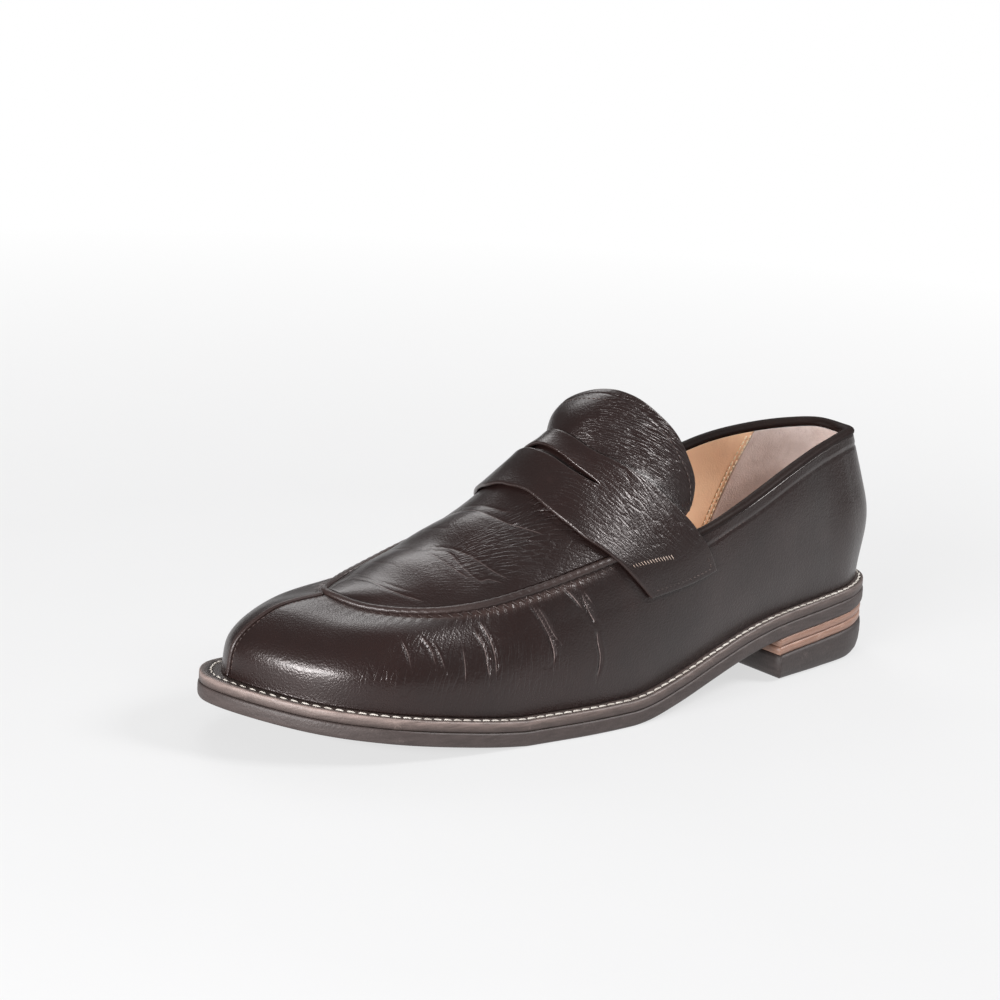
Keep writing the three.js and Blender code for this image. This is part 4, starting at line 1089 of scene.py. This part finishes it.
sGrid = edged(strapLook["outerEnd"], strapLook["innerEnd"], strapLook["columns"], 0.04, 0.04)
sGrid = np.unique(np.concatenate([sGrid, [strapLook["slotFrom"], strapLook["slotTo"]]]))
halves = []
for back in (False, True):
    q = edged(0, 1, strapLook["rows"], 0.05, 0.05)
    u, w = np.meshgrid(sGrid, q, indexing="ij")
    gape = slotGape(u)
    k = mix(strapLook["slotPlace"] + gape, 1, w) if back else mix(0, strapLook["slotPlace"] - gape, w)
    p, n = normalOf(strapPlace, u, k, 0.04, 0.02)
    alongU, alongV = runAlong(p, 0), runAlong(p, 1)
    toSlot = alongV if back else alongV[:, -1:] - alongV
    toEdge = alongV[:, -1:] - alongV if back else alongV
    slotOpen = ease(0, 0.012, gape)
    full = edgeFullness(toEdge, 0.8) * edgeFullness(np.minimum(alongU, alongU[-1:] - alongU), 0.8)
    full *= mix(1, edgeFullness(toSlot, 0.7), slotOpen)
    lip = strapLook["lip"] * slotOpen * np.exp(-toSlot / 3.0) * (0.35 if back else 1)
    raised = 0.25 * bell(toEdge, 0, 3) * bell(u, 5, 1.6)
    rise = lip + raised + 0.1 * np.sin(u * 3.1 + k * 4)
    middle = shoe["strapLift"] + shoe["strap"] / 2
    outer = p + n * (middle + shoe["strap"] / 2 * full + rise)[..., None]
    under = p + n * (middle - shoe["strap"] / 2 * full + rise)[..., None]
    points, faces = sheetParts(outer, under)
    shut = (slotGape(sGrid[:-1]) == 0) & (slotGape(sGrid[1:]) == 0)
    faces[2 if back else 3] = faces[2 if back else 3][~shut]
    skin = np.stack([tOf(p), (u - 5) * 20, 0 * u], -1) / 1000
    towardsOuter = 1.1 * bell(u, 3.5, 0.85) * (0.45 + 0.55 * ease(0.05, 0.5, k))
    crinkle = np.clip(towardsOuter, 0, 1) * ease(2.45, 2.9, u)
    # lighter along the strap's cut edges and the slot's edge: painted highlight with some rubbed wear
    rubAndSheen = 0.1 * bell(toEdge, 0, 0.7) + 0.08 * bell(toSlot, 0, 0.6) * slotOpen
    halves.append((points, faces, skin, crinkle, rubAndSheen))
points, faces = joined([(h[0], h[1]) for h in halves])
skin = np.concatenate([np.concatenate([h[2].reshape(-1, 3)] * 2) for h in halves])
masks = {key: np.concatenate([np.concatenate([h[i].ravel()] * 2) for h in halves])
         for key, i in (("crinkle", 3), ("rubAndSheen", 4))}
strap = makePiece("saddleStrap", points, faces, strapLeather, "upper_leather", stands=["strap"], skin=skin,
                  masks=masks)


def weld(piece, distance):
    bm = bmesh.new()
    bm.from_mesh(piece.data)
    bmesh.ops.remove_doubles(bm, verts=bm.verts, dist=distance)
    bmesh.ops.recalc_face_normals(bm, faces=bm.faces)
    bm.to_mesh(piece.data)
    bm.free()


weld(strap, 1e-6)


def strapRow(corners, count, lift):
    corners = np.array(corners, float)
    k = np.linspace(0, len(corners) - 1, count)
    i = np.clip(k.astype(int), 0, len(corners) - 2)
    at = mix(corners[i], corners[i + 1], (k - i)[:, None])
    p, n = normalOf(strapPlace, at[:, 0], at[:, 1], 0.04, 0.02)
    return p + n * lift, n


top = shoe["strapLift"] + shoe["strap"] - 0.05
for side, stands in (("outer", "strap_stitching_lateral"), ("inner", "strap_stitching_medial")):
    name = "strapStitches" + side.capitalize()
    bar = strapLook[side + "Bar"]
    low = mix(strapLook[side + "End"], 5, 0.045)
    parts = []
    rows = ([(low, 0.1), (low, 0.93)], 60), ([(low, 0.93), (mix(low, bar, 0.5), 0.93)], 40)
    for corners, count in rows:
        path, n = strapRow(corners, count, top)
        parts.append(stitchParts(path, n, 2.3, 1.9, 0.25, slant=0.3, dip=0.3))
    points, faces = joined(parts)
    makePiece(name, points, faces, brownThread, "dark_thread", stands=[stands])
    path, n = strapRow([(bar, 0.07), (bar - 0.05, 0.55)], 90, top)
    points, faces = stitchParts(path, n, 1.45, 1.5, 0.22, slant=1.3, dip=0.25)
    makePiece(name + "Bar", points, faces, creamThread, "dark_thread")
print("strap built")

# tongue
tongueLook = {"length": 42, "leather": 1.3, "liningTop": 1.6, "liningUnder": 2.5, "hemAway": 5.2,
              "stitchPitch": 2.4, "stitchLong": 1.8, "stitchRadius": 0.22}
tongueGrid = edged(-0.985, 0.985, 130, 0.02, 0.02)


def tongueCrinkle(a, w, p):
    return np.clip(1.2 * ease(-0.05, 0.45, a) * (0.6 + 0.4 * bell(w, 0.6, 0.35)), 0, 1)


def tongueSkin(a, w, p):
    return np.stack([-w * 40, -a * 52, 0 * a], -1) / 1000


def tongueRelief(a, w, p):
    groove = 0.25 * bell((1 - w) * tongueLook["length"], tongueLook["hemAway"], 0.8)
    return 0.2 * np.sin(a * 6 + w * 3) * np.sin(w * 5 + 0.4) - groove * ease(0, 0.2, 1 - abs(a))


# lighter along the tongue's free edge: painted highlight with some rubbed wear
def tongueRubAndSheen(a, w, p):
    return 0.12 * bell((1 - w) * tongueLook["length"], 0, 0.8)


sheetPiece("tongueFlap", tongueSurface, tongueGrid, edged(0.004, 0.996, 70, 0.018, 0.018), (0.012, 0.01),
           -tongueLook["leather"], 0.0, tongueLeather, "upper_leather", body="bending", relief=tongueRelief,
           skin=tongueSkin, masks={"crinkle": tongueCrinkle, "rubAndSheen": tongueRubAndSheen},
           stands=["tongue"], radii=(0.65, 0.65))
sheetPiece("tongueLining", tongueSurface, np.linspace(-0.95, 0.95, 80), np.linspace(0.06, 0.985, 40),
           (0.012, 0.01), -tongueLook["liningUnder"], -tongueLook["liningTop"], tanLining, "lining_leather",
           body="bending", radii=(0.4, 0.4), stands=["tongue_lining"])
a = np.linspace(-0.86, 0.9, 240)
hem = 1 - tongueLook["hemAway"] / tongueLook["length"] - 0.13 * bell(a, 0, 0.33)
path, n = normalOf(tongueSurface, a, hem, 0.012, 0.01)
points, faces = stitchParts(path - n * 0.12, n, tongueLook["stitchPitch"], tongueLook["stitchLong"],
                            tongueLook["stitchRadius"], dip=0.2)
makePiece("tongueStitches", points, faces, brownThread, "dark_thread", body="bending")
print("tongue built")

# lining
liningLook = {"top": 0.965, "suedeLift": 0.15, "suedeBase": 4.12, "suedeSlant": 1.27, "stitchPitch": 2.4,
              "stitchLong": 2.0, "stitchRadius": 0.3}


def liningOutAt(s):
    side = inner(s)
    stiff = np.maximum(1 - ease(4.53, 5.73, side), ease(8.93, 10.13, side))
    return shoe["leather"] + 0.3 + (shoe["stiffener"] + 0.6) * stiff


# slanted front edge of the heel suede
def suedeEdge(v):
    return liningLook["suedeBase"] - liningLook["suedeSlant"] * v


def liningPiece(name, fromS, toS, material, slotName, stands, lift=0.0):
    q = np.linspace(0, 1, 160)
    vs = edged(0.1, liningLook["top"], 60, 0.01, 0.01)
    qq, v = np.meshgrid(q, vs, indexing="ij")
    u = mix(fromS(v), toS(v), qq)
    p, n = normalOf(wall, u, v, 0.02, 0.01)
    out = liningOutAt(u % ringCount)
    points, faces = sheetParts(p - n * out[..., None], p - n * (out + shoe["lining"] + lift)[..., None])
    return makePiece(name, points, faces, material, slotName, stands=stands)


liningPiece("heelLining", lambda v: -suedeEdge(v), suedeEdge, heelSuede, "heel_suede", ["heel_lining"],
            liningLook["suedeLift"])
liningPiece("liningOuter", lambda v: suedeEdge(v) + 0.02, lambda v: 12.96 + 0 * v, tanLining,
            "lining_leather", ["quarter_lining_lateral"])
liningPiece("liningInner", lambda v: 13.04 + 0 * v, lambda v: ringCount - suedeEdge(v) - 0.02, tanLining,
            "lining_leather", ["quarter_lining_medial"])
parts = []
for turn in (1, -1):
    for away in (-0.05, -0.15):
        v = np.linspace(0.25, 0.945, 80)
        s = turn * (suedeEdge(v) - away)
        path, n = normalOf(wall, s, v, 0.02, 0.01)
        out = liningOutAt(np.abs(s))
        parts.append(stitchParts(path - n * (out + shoe["lining"] + 0.2)[:, None], -n,
                                 liningLook["stitchPitch"], liningLook["stitchLong"],
                                 liningLook["stitchRadius"], dip=0.15))
points, faces = joined(parts)
makePiece("liningStitches", points, faces, paleThread, "welt_thread")
print("lining built")

# bottom
def soleTop(t):
    return soleUnder(t) + shoe["outsoleThick"]


def plus(f, d):
    return lambda t: f(t) + d


def zero(v):
    return 0 * v


roundEdge = [(3, 0), (1.0, 0.0), (0.45, 0.03), (0.12, 0.14), (0, 0.3), (0, 0.7), (0.1, 0.88), (0.35, 0.98),
             (0.9, 1), (3, 1)]
platePiece("outsoleSlab", zero, soleUnder, soleTop, roundEdge, soleRubber, "outsole_rubber",
           stands=["outsole"], count=170)
s = np.linspace(0, ringCount, 780, endpoint=False)
weltLook = {"groove": 0.35, "stitchShare": 0.58, "stitchPitch": 4.2, "stitchLong": 3.7, "stitchRadius": 0.44}
low, high = plus(soleTop, shoe["gap"] * 0.4), seatZ
innerReach = reach(s) + shoe["weltReach"] * (1 - 0.5 * bell(s, toeStation, 1.3))
line = reach(s) * weltLook["stitchShare"]
profile = [(innerReach, 0, 0), (1.2 + zero(s), 0, 0), (0.6 + zero(s), 0, 0.12), (0.4 + zero(s), 0, 0.6),
           (0.35 + zero(s), 0.5, 0), (0.42 + zero(s), 1, -0.75), (0.62 + zero(s), 1, -0.25),
           (1.05 + zero(s), 1, 0), (line - 0.8, 1, 0.02), (line - 0.3, 1, -0.25),
           (line, 1, -weltLook["groove"]), (line + 0.3, 1, -0.25), (line + 0.8, 1, 0.02),
           (reach(s) + 1.5, 1, 0), (innerReach, 1, 0)]
rings = []
for d, share, extra in profile:
    p = inset(s, d)
    p[:, 2] = mix(low(tOf(p)), high(tOf(p)), share) + extra
    rings.append(p)
n, m = len(s), len(profile)
ids = np.arange(n * m).reshape(m, n)
after = np.roll(ids, -1, 1)
faces = [np.stack([ids, after, np.roll(after, -1, 0), np.roll(ids, -1, 0)], -1).reshape(-1, 4)]
# pale outer edge of the welt, strongest near the outer toe: rubbed wear with painted highlight on the edge
# that faces the light
toEnd = 0.3 + 0.7 * bell(s, 12.2, 3)
rubAndSheen = np.concatenate([toEnd * {4: 0.2, 5: 0.55, 6: 0.6, 7: 0.3}.get(i, 0) for i in range(m)])
makePiece("weltStrip", np.concatenate(rings), faces, weltLeather, "welt_leather", stands=["welt"],
          masks={"rubAndSheen": rubAndSheen})
path = inset(s, line)
path[:, 2] = seatZ(tOf(path)) - 0.02
points, faces = stitchParts(path, np.array([[0, 0, 1.0]]).repeat(n, 0), weltLook["stitchPitch"],
                            weltLook["stitchLong"], weltLook["stitchRadius"], slant=0.2, dip=0.5, closed=True,
                            flat=0.85)
makePiece("weltStitches", points, faces, threadLook, "welt_thread", stands=["welt_stitching"])


def liftLow(step):
    return plus(soleUnder, -step * (shoe["gap"] + shoe["lift"]))


liftLook = {"inset": 0.55, "joint": 0.12, "upperBreast": 67.4, "lowerBreast": 67.0, "topBreast": 66.6}


def liftInset(s):
    return liftLook["inset"] + zero(s)


liftEdge = [(3, 0), (0.9, 0.0), (0.35, 0.06), (0.08, 0.24), (0, 0.5), (0.08, 0.76), (0.35, 0.94), (0.9, 1),
            (3, 1)]
platePiece("upperLift", liftInset, liftLow(1), plus(soleUnder, -liftLook["joint"]), liftEdge, stackLeather,
           "stacked_leather", breast=liftLook["upperBreast"], stands=["heel_lift_upper"])
platePiece("lowerLift", liftInset, liftLow(2), plus(liftLow(1), -liftLook["joint"]), liftEdge, stackLeather,
           "stacked_leather", breast=liftLook["lowerBreast"], stands=["heel_lift_lower"])
topEdge = [(6, 0), (3.2, 0.0), (1.9, 0.04), (0.9, 0.16), (0.25, 0.36), (0, 0.6), (0.02, 0.84), (0.25, 0.96),
           (0.9, 1), (3, 1)]
platePiece("topLift", zero, zero, plus(liftLow(2), -liftLook["joint"]), topEdge, heelRubber, "heel_rubber",
           breast=liftLook["topBreast"], stands=["top_lift"])


def sockBase(s):
    return reach(s) + liningOutAt(s) + shoe["lining"] - 1.3 + ease(9, 12, inner(s)) * 1.6


insoleLow = plus(seatZ, 2 * shoe["gap"] + shoe["leather"])
sockLow = plus(insoleLow, shoe["insole"] + shoe["gap"])
sockEdge = [(2, 0), (0.2, 0), (0, 0.4), (0.15, 0.9), (0.6, 1), (2, 1)]
platePiece("sockLiner", sockBase, sockLow, plus(sockLow, shoe["sock"]), sockEdge, tanLining, "lining_leather",
           stands=["sock_liner"])
steel, tree, shader = newMaterial("shankSteel")
wear = useGroup(tree, wearGroup, {"Place": objectPlace(tree), "Scale": 90, "Amount": 0.4})
tree.links.new(mixColour(tree, wear["Wear"], (0.42, 0.43, 0.45, 1), (0.22, 0.2, 0.19, 1)),
               shader["Base Color"])
tree.links.new(mapRange(tree, wear["Wear"], 0, 1, 0.3, 0.5), shader["Roughness"])
shader["Metallic"].default_value = 1
hidden = {"heel_counter": feltLook, "toe_puff": feltLook, "insole": boardLook, "insole_rib": ribLook,
          "cork_filler": corkLook, "shank": steel, **{f"heel_nail_{i}": steel for i in range(1, 6)}}
for name, material in hidden.items():
    nodes[name].data.materials.clear()
    nodes[name].data.materials.append(material)
print("bottom built")

# floor, light and camera
stageLook = {"floor": (0.50, 0.50, 0.505, 1), "speck": (0.53, 0.53, 0.54, 1), "white": (1, 1, 1, 1),
             "fadeFrom": 0.30, "fadeTo": 0.9, "glow": 0.65, "skyLow": 0.10, "skyHigh": 0.2}
bpy.ops.mesh.primitive_plane_add(size=12, location=(0, 0, -0.0002))
floor = bpy.context.object
floor.name = "floor"
material, tree, shader = newMaterial("floorPaper")
parts = addNode(tree, "ShaderNodeSeparateXYZ", {0: objectPlace(tree)}).outputs
far = mathNode(tree, "SQRT", mathNode(tree, "ADD", mathNode(tree, "MULTIPLY", parts[0], parts[0]),
                                     mathNode(tree, "MULTIPLY", parts[1], parts[1])))
fade = mapRange(tree, far, stageLook["fadeFrom"], stageLook["fadeTo"], stageLook["glow"], 1)
speck = addNode(tree, "ShaderNodeTexNoise", {"Vector": objectPlace(tree), "Scale": 14, "Detail": 4})
tone = mixColour(tree, speck.outputs["Fac"], stageLook["floor"], stageLook["speck"])
tree.links.new(tone, shader["Base Color"])
shader["Roughness"].default_value = 0.55
glow = addNode(tree, "ShaderNodeEmission", {"Color": stageLook["white"], "Strength": 1.0})
join = addNode(tree, "ShaderNodeMixShader", {0: fade})
tree.links.new(tree.nodes["Principled BSDF"].outputs[0], join.inputs[1])
tree.links.new(glow.outputs[0], join.inputs[2])
tree.links.new(join.outputs[0], tree.nodes["Material Output"].inputs["Surface"])
floor.data.materials.append(material)

world = bpy.data.worlds.new("studioWorld")
bpy.context.scene.world = world
world.use_nodes = True
tree = world.node_tree
tree.nodes.clear()
rays = addNode(tree, "ShaderNodeLightPath").outputs["Is Camera Ray"]
towards = addNode(tree, "ShaderNodeTexCoord").outputs["Generated"]
up = addNode(tree, "ShaderNodeSeparateXYZ", {0: towards}).outputs[2]
sky = mapRange(tree, up, -0.1, 0.9, stageLook["skyLow"], stageLook["skyHigh"])
strength = mathNode(tree, "ADD", mathNode(tree, "MULTIPLY", rays, 1.0),
                    mathNode(tree, "MULTIPLY", mathNode(tree, "SUBTRACT", 1.0, rays), sky))
background = addNode(tree, "ShaderNodeBackground", {"Color": stageLook["white"], "Strength": strength})
addNode(tree, "ShaderNodeOutputWorld", {"Surface": background.outputs[0]})

lights = [  # name, direction from the shoe, distance, width, height, watts
    ("overheadSoft", (-0.5, 0.5, 1.0), 1.5, 1.2, 1.2, 3),
    ("toeSoft", (0.36, -0.9, 0.3), 1.5, 1.0, 0.22, 38),
    ("heelSoft", (0.39, 0.63, 0.68), 1.5, 0.5, 0.4, 20),
    ("apronSoft", (-0.72, 0.28, 0.63), 1.5, 0.6, 0.6, 3.5),
]
for name, direction, distance, width, height, watts in lights:
    data = bpy.data.lights.new(name, "AREA")
    data.shape, data.size, data.size_y, data.energy = "RECTANGLE", width, height, watts
    light = bpy.data.objects.new(name, data)
    bpy.context.scene.collection.objects.link(light)
    toward = Vector(direction).normalized()
    light.location = toward * distance
    light.rotation_euler = toward.to_track_quat("Z", "Y").to_euler()

view = {"azimuth": 48.967, "elevation": 17.513, "roll": 4.085, "distance": 1.47973, "lens": 137.86,
        "shift": (-0.05406, 0.18872), "target": (-0.000331, 0.0006, 0)}
azimuth, elevation, roll = (math.radians(view[key]) for key in ("azimuth", "elevation", "roll"))
level = math.cos(elevation)
back = Vector((math.sin(azimuth) * level, -math.cos(azimuth) * level, math.sin(elevation)))
right = Vector((math.cos(azimuth), math.sin(azimuth), 0))
upright = back.cross(right)
tilted = right * math.cos(roll) + upright * math.sin(roll)
upward = upright * math.cos(roll) - right * math.sin(roll)
cameraData = bpy.data.cameras.new("camera")
cameraData.lens, cameraData.sensor_width = view["lens"], 36
cameraData.shift_x, cameraData.shift_y = view["shift"]
cameraData.clip_start, cameraData.clip_end = 0.05, 50
camera = bpy.data.objects.new("camera", cameraData)
bpy.context.scene.collection.objects.link(camera)
camera.matrix_world = Matrix((tilted, upward, back)).transposed().to_4x4()
camera.location = Vector(view["target"]) + back * view["distance"]
bpy.context.scene.camera = camera
bpy.context.scene.view_settings.view_transform = "Standard"

print("scene finished")
